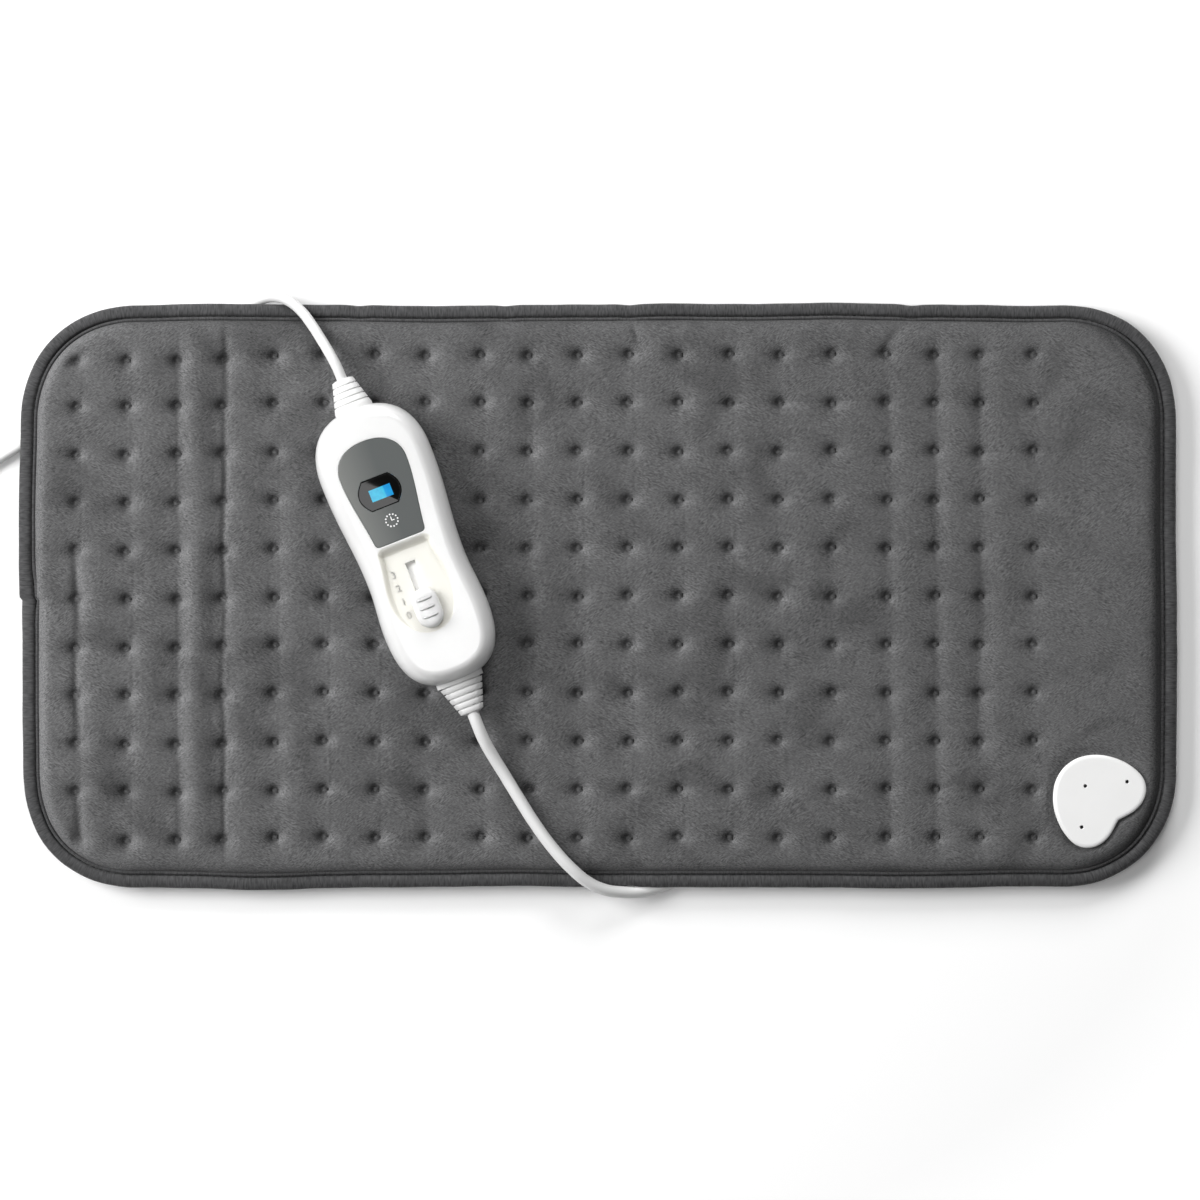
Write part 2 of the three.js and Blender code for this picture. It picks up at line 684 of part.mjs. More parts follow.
function makeTopCover() {
  const crown = CROWN.map(([inward, up]) => [bodyInset + inward, upperFlange + up]);
  const cushion = padLoft([
    [flangeInset, upperBase], [flangeInset, upperFlange], [bodyInset, upperFlange], ...crown]);
  const quilted = toGeometry(toSolid(cushion).intersect(toSolid(quiltField())));
  const pocket = extrude(heaterRectangle(0), upperBase - OVERCUT, pocketTop);
  const bed = onPlate(heartSolid(-FIT, plateBed, CREST + OVERCUT));
  return cutAll(quilted, [pocket, bed, ...rivetHoles(upperBase, CREST)]);
}

function makeBottomCover() {
  const cushion = padLoft([
    ...LOWER_CURVE.map(([inward, share]) => [inward, share * lowerFlange]),
    [bodyInset, lowerFlange], [flangeInset, lowerFlange], [flangeInset, LOWER_THICKNESS]]);
  const housingRoom = onPlate(heartSolid(HOUSING_INSET - FIT, -OVERCUT, LOWER_THICKNESS + OVERCUT));
  const glandRoom = glandSolid(FIT);
  return cutAll(cushion, [housingRoom, glandRoom, ...cordGrooves]);
}

function makeBinding() {
  const low = lowerFlange - FIT;
  const high = upperFlange + FIT;
  const round = BINDING_FOLD;
  const profile = [
    [BINDING_WIDTH, low], [BINDING_WIDTH, low - BINDING_CLOTH], [round, low - BINDING_CLOTH],
    [0, low], [0, high], [round, high + BINDING_CLOTH], [BINDING_WIDTH, high + BINDING_CLOTH],
    [BINDING_WIDTH, high], [BINDING_FOLD, high], [BINDING_FOLD, low]];
  return cutAll(padLoft(profile, true), cordGrooves);
}

function makeCarrier() {
  const sheet = extrude(heaterRectangle(FIT), upperBase, carrierTop);
  return cutAll(sheet, rivetHoles(upperBase - OVERCUT, carrierTop + OVERCUT));
}

// The heater wire runs to and fro between the rows of tufts and returns along the right-hand side
function makeHeaterWire() {
  const bend = TUFT_PITCH_Y / 2;
  const left = -PAD_LENGTH / 2 + WIRE_LEFT_INSET;
  const right = PAD_LENGTH / 2 - WIRE_RIGHT_INSET;
  const z = wireBase + WIRE_DIAMETER / 2;
  const runs = 2 * wirePairs;
  const startX = blockCentre().x - BLOCK_SIZE[0] / 2 - FIT;
  const path = new THREE.CurvePath();
  let at = new THREE.Vector3(startX, wireFirstY, z);
  const line = (x, y) => {
    const next = new THREE.Vector3(x, y, z);
    path.add(new THREE.LineCurve3(at, next));
    at = next;
  };
  const corner = (midX, midY, x, y) => {
    const next = new THREE.Vector3(x, y, z);
    path.add(new THREE.QuadraticBezierCurve3(at, new THREE.Vector3(midX, midY, z), next));
    at = next;
  };
  for (let run = 0; run < runs; run++) {
    const y = wireFirstY + run * TUFT_PITCH_Y;
    const leftward = run % 2 === 0;
    const end = leftward ? left : right;
    const out = leftward ? -bend : bend;
    line(end, y);
    if (run === runs - 1) break;
    corner(end + out, y, end + out, y + bend);
    corner(end + out, y + TUFT_PITCH_Y, end, y + TUFT_PITCH_Y);
  }
  const returnX = right + bend + WIRE_RETURN;
  const lastY = wireFirstY + BLOCK_WIRE_SPACING;
  line(returnX - bend, at.y);
  corner(returnX, at.y, returnX, at.y - bend);
  line(returnX, lastY + WIRE_ENTRY_BEND);
  corner(returnX, lastY, returnX + WIRE_ENTRY_BEND, lastY);
  line(startX, lastY);
  return pathTube(path, WIRE_DIAMETER);
}

// A tube along straight runs and bends, with steps only where it bends
function pathTube(path, diameter) {
  const points = [];
  for (const curve of path.curves) {
    const steps = curve.isLineCurve3 ? 1 : WIRE_BEND_STEPS;
    const first = points.length ? 1 : 0;
    for (let i = first; i <= steps; i++) points.push(curve.getPoint(i / steps));
  }
  const up = new THREE.Vector3(0, 0, 1);
  const rings = points.map((point, i) => {
    const before = points[Math.max(i - 1, 0)];
    const after = points[Math.min(i + 1, points.length - 1)];
    const side = after.clone().sub(before).normalize().cross(up);
    return roundPoints(diameter / 2, WIRE_SIDES).map((p) => {
      return point.clone().addScaledVector(side, p.x).addScaledVector(up, p.y);
    });
  });
  return loft(rings, false, alongX);
}

// Views of a ring along x and along y, for the caps of what runs that way
function alongX(p) {
  return new THREE.Vector2(p.y, p.z);
}

function alongY(p) {
  return new THREE.Vector2(p.x, p.z);
}

function blockCentre() {
  return new THREE.Vector3(plateX + BLOCK_PAST_PLATE, wireFirstY + BLOCK_WIRE_SPACING / 2, 0);
}

// The gland: a taper about its axis, flattened where it would reach below the pad
function glandSolid(grow) {
  const across = new THREE.Vector3(-glandAxis.y, glandAxis.x, 0);
  const up = new THREE.Vector3(0, 0, 1);
  const ringAt = (along, radius) => {
    const centre = glandRoot.clone().addScaledVector(glandAxis, -along);
    return roundPoints(1, BOOT_SIDES).map((p) => {
      const high = Math.min(radius, leadHeight);
      return centre.clone().addScaledVector(across, radius * p.x).addScaledVector(up, high * p.y);
    });
  };
  const rings = [ringAt(-grow, GLAND_ROOT + grow), ringAt(GLAND_LENGTH + grow, GLAND_TIP + grow)];
  return loft(rings, false, alongX);
}

function makePad() {
  addPart(root, 'pad_bottom_cover', makeBottomCover(), plush);
  addPart(root, 'pad_top_cover', makeTopCover(), plush);
  addPart(root, 'edge_binding', makeBinding(), bindingCloth);
  addPart(root, 'heater_carrier', makeCarrier(), fleece);
  addPart(root, 'heater_wire', makeHeaterWire(), heaterSheath);
  const betweenRuns = wireFirstY + (wirePairs - 0.5) * TUFT_PITCH_Y;
  addPart(root, 'thermal_cutout', slab(CUTOUT_SIZE, CUTOUT_X, betweenRuns, wireBase), darkPlastic);
}

function makeTerminal() {
  const hole = RIVET_DIAMETER / 2 + FIT;
  const plateHoles = RIVETS.map(([x, y]) => {
    return disc(hole, x, y, plateBase - OVERCUT, plateTop + OVERCUT, RIVET_HOLE_SIDES);
  });
  const plate = cutAll(heartSolid(0, plateBase, plateTop), plateHoles);
  addPart(plateGroup, 'terminal_plate', plate, whiteGloss);

  const headRoom = HOUSING_BASE + RIVET_HEAD_THICKNESS + 2 * FIT;
  const housingCuts = [];
  for (const [x, y] of RIVETS) {
    housingCuts.push(disc(hole, x, y, -OVERCUT, LOWER_THICKNESS + OVERCUT, RIVET_HOLE_SIDES));
    housingCuts.push(disc(RIVET_HEAD / 2 + FIT, x, y, -OVERCUT, headRoom, RIVET_SIDES));
  }
  const housing = heartSolid(HOUSING_INSET, HOUSING_BASE, LOWER_THICKNESS - FIT);
  const glandSeat = glandSolid(FIT).applyMatrix4(plateGroup.matrix.clone().invert());
  addPart(plateGroup, 'terminal_housing', cutAll(housing, [...housingCuts, glandSeat]), whiteGloss);
  RIVETS.forEach(([x, y], i) => {
    const base = HOUSING_BASE + FIT;
    const shoulder = base + RIVET_HEAD_THICKNESS;
    const rivet = turned([
      [RIVET_HEAD / 2, base], [RIVET_HEAD / 2, shoulder],
      [RIVET_DIAMETER / 2, shoulder], [RIVET_DIAMETER / 2, plateTop - RIVET_SUNK]], x, y, RIVET_SIDES);
    addPart(plateGroup, `terminal_rivet_${i + 1}`, rivet, steel);
  });
  const block = blockCentre();
  addPart(root, 'junction_block', slab(BLOCK_SIZE, block.x, block.y, wireBase), darkPlastic);
  addPart(root, 'pad_lead_gland', glandSolid(0), whiteCord);
}

// Controller outline, from its head past the waist to its tail
function caseShape() {
  return evenShape([0, HEAD_END], [
    [[-HEAD_PULL, HEAD_END], [-HEAD_HALF, HEAD_Y + HEAD_PULL], [-HEAD_HALF, HEAD_Y]],
    [[-HEAD_HALF, HEAD_Y - NECK_PULL[0]], [-WAIST_HALF, WAIST_Y + NECK_PULL[1]], [-WAIST_HALF, WAIST_Y]],
    [[-WAIST_HALF, WAIST_Y - HIP_PULL], [-TAIL_HALF, TAIL_Y + HIP_PULL], [-TAIL_HALF, TAIL_Y]],
    [[-TAIL_HALF, TAIL_Y - TAIL_PULL[1]], [-TAIL_PULL[0], TAIL_END], [0, TAIL_END]],
  ], mirrorX);
}

const caseOutline = caseShape().getPoints(CASE_CURVE_STEPS).slice(0, -1);

function caseRing(inset, z) {
  const count = caseOutline.length;
  return caseOutline.map((point, i) => {
    const before = caseOutline[(i + count - 1) % count];
    const after = caseOutline[(i + 1) % count];
    const along = after.clone().sub(before).normalize();
    return new THREE.Vector3(point.x - along.y * inset, point.y + along.x * inset, z);
  });
}

// Half of the case: its edge rounds over from the parting line to the flat top or bottom
function caseLoft(wall, parting, flat, round) {
  const rings = [];
  for (let i = 0; i <= ROUND_STEPS; i++) {
    const angle = (i / ROUND_STEPS) * (Math.PI / 2);
    const inset = wall + round * (1 - Math.cos(angle));
    rings.push(caseRing(inset, parting + (flat - parting) * Math.sin(angle)));
  }
  return loft(rings);
}

function upperSolid(wall) {
  return caseLoft(wall, CASE_PARTING + FIT / 2 - (wall ? OVERCUT : 0), CASE_HEIGHT - wall, TOP_ROUND);
}

function lowerSolid(wall) {
  return caseLoft(wall, CASE_PARTING - FIT / 2 + (wall ? OVERCUT : 0), wall, BOTTOM_ROUND);
}

// Slider frame: y runs up the recess floor towards the display, z is square to the floor
const recessRun = RECESS_HIGH - RECESS_LOW;
const sliderFrame = new THREE.Group();
sliderFrame.position.set(FACE_X, RECESS_LOW, CASE_HEIGHT);
sliderFrame.rotation.x = -Math.atan2(RECESS_DEPTH, recessRun);
sliderFrame.updateMatrix();
caseGroup.add(sliderFrame);
const faceGroup = new THREE.Group();
faceGroup.position.x = FACE_X;
caseGroup.add(faceGroup);
const knobY = KNOB_REST - RECESS_LOW;
const slotLow = knobY - STEM_SIZE[1] / 2 - STEM_END_PLAY;
const slotHigh = knobY + TRAVEL + STEM_SIZE[1] / 2 + STEM_END_PLAY;
const shieldLow = slotLow - TRAVEL - SHIELD_LAP;
const shieldHigh = slotHigh + SHIELD_LAP;

function tongueShape(grow) {
  const top = recessRun + grow;
  const narrow = RECESS_HALF_TOP + grow;
  const wide = RECESS_HALF + grow;
  const widest = RECESS_WIDEST * recessRun;
  const pull = RECESS_PULLS;
  return evenShape([0, -grow], [
    [[RECESS_TIP_PULL * wide, -grow], [wide, pull.tip * top], [wide, widest]],
    [[wide, pull.side * top], [narrow, pull.top * top], [narrow, top]],
  ], mirrorX);
}

function onSlider(geometry) {
  return geometry.applyMatrix4(sliderFrame.matrix);
}

function fasciaShape(grow) {
  const foot = FASCIA_FOOT + grow;
  const half = FASCIA_HALF + grow;
  const low = FASCIA_LOW - grow;
  const high = FASCIA_HIGH + grow;
  const [out, up] = FASCIA_FOOT_PULL;
  return evenShape([0, high], [
    [[-FASCIA_TOP_PULL * half, high], [-half, FASCIA_WIDE_Y + FASCIA_SHOULDER_PULL], [-half, FASCIA_WIDE_Y]],
    [[-half, FASCIA_WIDE_Y - FASCIA_SIDE_PULL], [-foot - out, FASCIA_LOW + up],
      [-foot - FASCIA_FOOT_SPREAD, low + FASCIA_CORNER]],
    [[-foot, low], [-foot + FASCIA_CORNER, low]],
  ], mirrorX);
}

// A barrel: straight above and below, bowed at both ends
function windowShape(grow) {
  const half = WINDOW_WIDTH / 2 - WINDOW_BULGE + grow;
  const high = WINDOW_HEIGHT / 2 + grow;
  const bow = half + 2 * WINDOW_BULGE;
  const shape = new THREE.Shape();
  shape.moveTo(WINDOW_X - half, WINDOW_Y - high);
  shape.lineTo(WINDOW_X + half, WINDOW_Y - high);
  shape.quadraticCurveTo(WINDOW_X + bow, WINDOW_Y, WINDOW_X + half, WINDOW_Y + high);
  shape.lineTo(WINDOW_X - half, WINDOW_Y + high);
  shape.quadraticCurveTo(WINDOW_X - bow, WINDOW_Y, WINDOW_X - half, WINDOW_Y - high);
  return shape;
}

function bootRing(boot, y, radius, grow) {
  return roundPoints(1, BOOT_SIDES).map((p) => {
    return new THREE.Vector3((radius + grow) * p.x, y, (radius * boot.flat + grow) * p.y);
  });
}

// A ribbed boot about the y axis, from its flange, if it has one, to its tip
function bootSolid(boot, end, way, inward) {
  const stations = [];
  if (inward > 0) {
    const flange = boot.root + BOOT_FLANGE;
    const flangeEnd = -inward + BOOT_FLANGE_LENGTH;
    stations.push([-inward, flange], [flangeEnd, flange], [flangeEnd, boot.root]);
  } else {
    stations.push([0, boot.root]);
  }
  const pitch = boot.length / boot.ribs;
  for (let i = 0; i < boot.ribs; i++) {
    const radius = THREE.MathUtils.lerp(boot.root, boot.tip, i / (boot.ribs - 1));
    const from = i * pitch;
    if (i > 0) stations.push([from + BOOT_STEP * pitch, radius]);
    stations.push([from + BOOT_RIB * pitch, radius]);
    if (i < boot.ribs - 1) {
      const groove = radius * BOOT_GROOVE;
      stations.push([from + (BOOT_RIB + BOOT_STEP) * pitch, groove], [from + pitch, groove]);
    }
  }
  stations.push([boot.length, boot.tip]);
  const rings = stations.map(([along, radius]) => bootRing(boot, end + way * along, radius, 0));
  return loft(rings, false, alongY);
}

// The opening in the case that a boot passes through, and the room for its flange behind it
function bootRoom(boot, end, way) {
  const flange = boot.root + BOOT_FLANGE;
  const flangeEnd = BOOT_FLANGE_INSIDE - BOOT_FLANGE_LENGTH - FIT;
  const stations = [
    [-BOOT_FLANGE_INSIDE - FIT, flange], [-flangeEnd, flange], [-flangeEnd, boot.root], [OVERCUT, boot.root]];
  const rings = stations.map(([along, radius]) => bootRing(boot, end + way * along, radius, FIT));
  return loft(rings, false, alongY).translate(0, 0, CASE_PARTING);
}

const mainsBootRoom = bootRoom(MAINS_BOOT, HEAD_END, 1);
const padBootRoom = bootRoom(PAD_BOOT, TAIL_END, -1);

function makeUpperShell() {
  const outer = toSolid(upperSolid(0));
  const tub = onSlider(extrude(tongueShape(CASE_WALL), -RECESS_FLOOR, CASE_HEIGHT));
  const cavity = toSolid(upperSolid(CASE_WALL)).subtract(toSolid(tub));
  let shell = outer.subtract(cavity);
  const parting = CASE_PARTING + FIT / 2;
  for (const [x, y] of SCREWS) {
    const boss = toSolid(disc(BOSS_RADIUS, x, y, parting, CASE_HEIGHT + OVERCUT, BOSS_SIDES));
    shell = shell.add(boss.intersect(outer));
  }
  const fasciaBed = CASE_HEIGHT - FASCIA_THICKNESS - FIT;
  const screwTop = SCREW_SUNK + SCREW_HEAD_HEIGHT + SCREW_LENGTH + FIT;
  const cutters = [
    onSlider(extrude(tongueShape(0), 0, CASE_HEIGHT)),
    onSlider(slotCutter()),
    onSlider(shieldWay()),
    extrude(fasciaShape(FIT), fasciaBed, CASE_HEIGHT + OVERCUT).translate(FACE_X, 0, 0),
    extrude(rectangle(...LCD_VIEW, FACE_X + WINDOW_X, WINDOW_Y), boardBase, CASE_HEIGHT + OVERCUT),
    mainsBootRoom, padBootRoom,
    ...SCREWS.map(([x, y]) => disc(SCREW_SHANK / 2 + FIT, x, y, 0, screwTop, SCREW_SIDES)),
  ];
  return cutAll(toGeometry(shell), cutters);
}

function slotCutter() {
  const middle = (slotLow + slotHigh) / 2;
  return extrude(rectangle(SLOT_WIDTH, slotHigh - slotLow, 0, middle), -RECESS_FLOOR - OVERCUT, OVERCUT);
}

// Room in the underside of the top for the shield where it reaches past the recess
function shieldWay() {
  const low = shieldLow - STEM_END_PLAY;
  const width = SHIELD_WIDTH + 2 * STEM_END_PLAY;
  return extrude(rectangle(width, slotLow - low, 0, (low + slotLow) / 2), -CASE_HEIGHT / 2, -RECESS_FLOOR);
}

function makeLowerShell() {
  const outer = toSolid(lowerSolid(0));
  let shell = outer.subtract(toSolid(lowerSolid(CASE_WALL)));
  for (const [x, y] of POSTS) {
    shell = shell.add(toSolid(disc(POST_RADIUS, x, y, CASE_WALL / 2, boardBase - FIT, BOSS_SIDES)));
  }
  const postTop = CASE_PARTING - FIT / 2;
  for (const [x, y] of SCREWS) {
    shell = shell.add(toSolid(disc(BOSS_RADIUS, x, y, CASE_WALL / 2, postTop, BOSS_SIDES)));
  }
  const headTop = SCREW_SUNK + SCREW_HEAD_HEIGHT;
  const cutters = [mainsBootRoom, padBootRoom];
  for (const [x, y] of SCREWS) {
    cutters.push(disc(SCREW_SHANK / 2 + FIT, x, y, -OVERCUT, CASE_PARTING, SCREW_SIDES));
    cutters.push(disc(SCREW_HEAD / 2 + FIT, x, y, -OVERCUT, headTop + FIT, SCREW_SIDES));
  }
  return cutAll(toGeometry(shell), cutters);
}

function makeDisplay() {
  const top = CASE_HEIGHT;
  const fascia = fasciaShape(0);
  fascia.holes.push(new THREE.Path(windowShape(FIT).getPoints(6)));
  addPart(faceGroup, 'display_fascia', extrude(fascia, top - FASCIA_THICKNESS, top), greyFascia);
  addPart(faceGroup, 'display_window', extrude(windowShape(0), top - FASCIA_THICKNESS, top), blackGlass);
  const lcdTop = CASE_HEIGHT - CASE_WALL - FIT;
  const lcdBase = lcdTop - LCD_SIZE[2];
  const backlightBase = lcdBase - FIT - BACKLIGHT_SIZE[2];
  addPart(faceGroup, 'lcd_panel', slab(LCD_SIZE, WINDOW_X, WINDOW_Y, lcdBase), blueDisplay);
  addPart(faceGroup, 'lcd_backlight', slab(BACKLIGHT_SIZE, WINDOW_X, WINDOW_Y, backlightBase), whiteGloss);
  const [holderWidth, holderHeight] = BACKLIGHT_SIZE;
  const holder = rectangle(holderWidth, holderHeight, WINDOW_X, WINDOW_Y);
  const inside = rectangle(
    holderWidth - 2 * HOLDER_WALL, holderHeight - 2 * HOLDER_WALL, WINDOW_X, WINDOW_Y);
  holder.holes.push(new THREE.Path(inside.getPoints()));
  addPart(faceGroup, 'display_holder', extrude(holder, boardTop + FIT, backlightBase - FIT), darkPlastic);
}

function makeBoard() {
  const width = 2 * BOARD_HALF;
  const length = BOARD_HIGH - BOARD_LOW;
  const middle = (BOARD_HIGH + BOARD_LOW) / 2;
  const onBoard = boardTop + FIT;
  const board = slab([width, length, BOARD_THICKNESS], 0, middle, boardBase);
  addPart(caseGroup, 'control_board', board, boardGreen);
  const boxes = {
    triac: TRIAC, pad_terminal: PAD_TERMINAL, capacitor: CAPACITOR, mains_terminal: MAINS_TERMINAL };
  for (const [name, { size, at }] of Object.entries(boxes)) {
    addPart(caseGroup, name, slab(size, at[0], at[1], onBoard), darkPlastic);
  }
  const fuse = turned([
    [FUSE_DIAMETER / 2, -FUSE_LENGTH / 2], [FUSE_DIAMETER / 2, FUSE_LENGTH / 2]], 0, 0, FUSE_SIDES);
  fuse.rotateX(Math.PI / 2).translate(FUSE_AT[0], FUSE_AT[1], onBoard + FUSE_DIAMETER / 2);
  addPart(caseGroup, 'fuse', fuse, brass);

  const switchLow = KNOB_REST - LEVER_SIZE[1] / 2 - SWITCH_END;
  const switchHigh = KNOB_REST + TRAVEL + LEVER_SIZE[1] / 2 + SWITCH_END;
  const switchMiddle = (switchLow + switchHigh) / 2;
  const switchLength = switchHigh - switchLow;
  const body = slab([SWITCH_WIDTH, switchLength, SWITCH_HEIGHT], FACE_X, switchMiddle, onBoard);
  const channelSize = [LEVER_SIZE[0] + 2 * STEM_END_PLAY, switchLength - SWITCH_END, SWITCH_HEIGHT];
  const channel = slab(channelSize, FACE_X, switchMiddle, onBoard + SWITCH_FLOOR);
  addPart(caseGroup, 'slide_switch', cutAll(body, [channel]), darkPlastic);
}

// The knob, its stem, the shield below the slot and the switch lever all travel together
function makeSlider() {
  const oval = new THREE.Shape();
  const end = (KNOB_LENGTH - KNOB_WIDTH) / 2;
  oval.absarc(0, knobY + end, KNOB_WIDTH / 2, 0, Math.PI);
  oval.absarc(0, knobY - end, KNOB_WIDTH / 2, Math.PI, 2 * Math.PI);
  const ovalRing = (inset, z) => {
    const shrink = (KNOB_WIDTH / 2 - inset) / (KNOB_WIDTH / 2);
    return oval.getPoints(KNOB_STEPS).map((p) => {
      const middle = knobY + Math.sign(p.y - knobY) * end;
      return new THREE.Vector3(p.x * shrink, middle + (p.y - middle) * shrink, z);
    });
  };
  const crown = KNOB_CROWN.map(([inset, share]) => ovalRing(inset, share * KNOB_HEIGHT));
  const cap = loft([ovalRing(0, FIT), ...crown]);
  const pieces = [cap];
  for (let i = 0; i < KNOB_RIDGES; i++) {
    const y = knobY + (i - (KNOB_RIDGES - 1) / 2) * RIDGE_PITCH;
    pieces.push(slab(RIDGE_SIZE, 0, y, KNOB_HEIGHT - RIDGE_SIZE[2] / 2));
  }
  const shieldTop = -RECESS_FLOOR - FIT;
  const shieldBase = shieldTop - SHIELD_THICKNESS;
  const stemBase = shieldBase - FIT;
  pieces.push(slab([STEM_SIZE[0], STEM_SIZE[1], KNOB_HEIGHT / 2 - stemBase], 0, knobY, stemBase));
  addPart(sliderFrame, 'slider_knob', joinAll(pieces), whiteGloss);

  const shield = rectangle(SHIELD_WIDTH, shieldHigh - shieldLow, 0, (shieldLow + shieldHigh) / 2);
  const stemHole = rectangle(STEM_SIZE[0] + 2 * FIT, STEM_SIZE[1] + 2 * FIT, 0, knobY);
  shield.holes.push(new THREE.Path(stemHole.getPoints()));
  addPart(sliderFrame, 'slider_shield', extrude(shield, shieldBase, shieldTop), whiteGloss);
  const lever = slab(LEVER_SIZE, 0, knobY, stemBase - FIT - LEVER_SIZE[2]);
  addPart(sliderFrame, 'switch_lever', lever, darkPlastic);
}

function makeController() {
  addPart(caseGroup, 'upper_shell', makeUpperShell(), whiteGloss);
  addPart(caseGroup, 'lower_shell', makeLowerShell(), whiteGloss);
  makeDisplay();
  makeBoard();
  makeSlider();
  SCREWS.forEach(([x, y], i) => {
    const headTop = SCREW_SUNK + SCREW_HEAD_HEIGHT;
    const screw = turned([
      [SCREW_HEAD / 2, SCREW_SUNK], [SCREW_HEAD / 2, headTop],
      [SCREW_SHANK / 2, headTop], [SCREW_SHANK / 2, headTop + SCREW_LENGTH]], x, y, SCREW_SIDES);
    addPart(caseGroup, `case_screw_${i + 1}`, screw, steel);
  });
  const mainsBoot = bootSolid(MAINS_BOOT, HEAD_END, 1, BOOT_FLANGE_INSIDE);
  const padBoot = bootSolid(PAD_BOOT, TAIL_END, -1, BOOT_FLANGE_INSIDE);
  addPart(caseGroup, 'mains_cord_boot', mainsBoot.translate(0, 0, CASE_PARTING), whiteCord);
  addPart(caseGroup, 'pad_cord_boot', padBoot.translate(0, 0, CASE_PARTING), whiteCord);
}

// Rings along the coil's centreline, each square to it
function coilTube() {
  const up = new THREE.Vector3(0, 0, 1);
  const rings = coilPoints.map((point, i) => {
    const before = coilPoints[Math.max(i - 1, 0)];
    const after = coilPoints[Math.min(i + 1, coilPoints.length - 1)];
    const along = after.clone().sub(before).normalize();
    const side = along.clone().cross(up).normalize();
    const over = side.clone().cross(along);
    return roundPoints(MAINS_DIAMETER / 2, COIL_SIDES).map((p) => {
      return point.clone().addScaledVector(side, p.x).addScaledVector(over, p.y);
    });
  });
  return loft(rings, false, (p) => new THREE.Vector2(p.x - p.y, p.z));
}

// Least gap between stretches of the coil that are half a turn or more apart
function coilGap() {
  let least = Infinity;
  for (let i = 0; i < coilPoints.length; i++) {
    for (let j = i + COIL_STEPS / 2; j < coilPoints.length; j++) {
      least = Math.min(least, coilPoints[i].distanceTo(coilPoints[j]));
    }
  }
  return least - MAINS_DIAMETER;
}

function makeTie() {
  const reach = COIL_PITCH * coilMiddle;
  const width = reach + MAINS_DIAMETER + 2 * FIT;
  const height = COIL_PITCH + MAINS_DIAMETER + 2 * FIT;
  const band = rectangle(width + 2 * TIE_THICKNESS, height + 2 * TIE_THICKNESS);
  band.holes.push(new THREE.Path(rectangle(width, height).getPoints()));
  const middle = COIL_INNER + reach / 2;
  const geometry = extrude(band, -TIE_WIDTH / 2, TIE_WIDTH / 2);
  geometry.rotateX(Math.PI / 2).rotateZ(TIE_ANGLE);
  return geometry.translate(
    COIL_X + middle * Math.cos(TIE_ANGLE), COIL_Y + middle * Math.sin(TIE_ANGLE), coilLow + COIL_PITCH / 2);
}

function makePlug() {
  const plugGroup = new THREE.Group();
  plugGroup.position.set(PLUG_X, PLUG_TOP, plugAxis);
  root.add(plugGroup);
  addPart(plugGroup, 'plug_boot', bootSolid(PLUG_BOOT, FIT, 1, 0), whiteCord);
  const outline = new THREE.Shape();
  outline.moveTo(-PLUG_NECK / 2, 0);
  outline.lineTo(-PLUG_WIDTH / 2, -PLUG_LENGTH + PLUG_FACE);
  outline.lineTo(-PLUG_WIDTH / 2, -PLUG_LENGTH);
  outline.lineTo(PLUG_WIDTH / 2, -PLUG_LENGTH);
  outline.lineTo(PLUG_WIDTH / 2, -PLUG_LENGTH + PLUG_FACE);
  outline.lineTo(PLUG_NECK / 2, 0);
  outline.closePath();
  const pinAt = (sign, grow, from, to) => {
    const radius = PIN_DIAMETER / 2 + grow;
    const pin = turned([[radius, from], [radius, to]], 0, 0, PIN_SIDES);
    return pin.rotateX(Math.PI / 2).translate((sign * PIN_SPACING) / 2, -PLUG_LENGTH, 0);
  };
  const body = extrude(outline, -PLUG_THICKNESS / 2, PLUG_THICKNESS / 2);
  const sockets = [-1, 1].map((sign) => pinAt(sign, FIT, -PIN_SEAT - FIT, OVERCUT));
  addPart(plugGroup, 'plug_body', cutAll(body, sockets), whiteGloss);
  [-1, 1].forEach((sign, i) => {
    addPart(plugGroup, `plug_pin_${i + 1}`, pinAt(sign, 0, -PIN_SEAT, PIN_LENGTH), steel);
  });
}

function makeCords() {
  addPart(root, 'mains_lead', cordTube(mainsCurve, MAINS_DIAMETER), whiteCord);
  addPart(root, 'pad_lead', cordTube(padLeadCurve, PAD_LEAD_DIAMETER), whiteCord);
  addPart(root, 'mains_coil', coilTube(), whiteCord);
  addPart(root, 'plug_tail', cordTube(plugTailCurve, MAINS_DIAMETER), whiteCord);
  addPart(root, 'coil_tie', makeTie(), darkPlastic);
  makePlug();
  console.log(`least gap of the coil to itself: ${coilGap().toFixed(2)} mm`);
}

makePad();
makeTerminal();
makeController();
makeCords();

export default root;
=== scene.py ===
"""Looks of a quilted heating pad with a slide controller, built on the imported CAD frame.

Shapes are drawn in millimetres, as in the part's source, and turned into metres when a piece is made.
"""
import math

import bmesh
import bpy
import numpy as np
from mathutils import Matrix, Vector
from mathutils.geometry import delaunay_2d_cdt

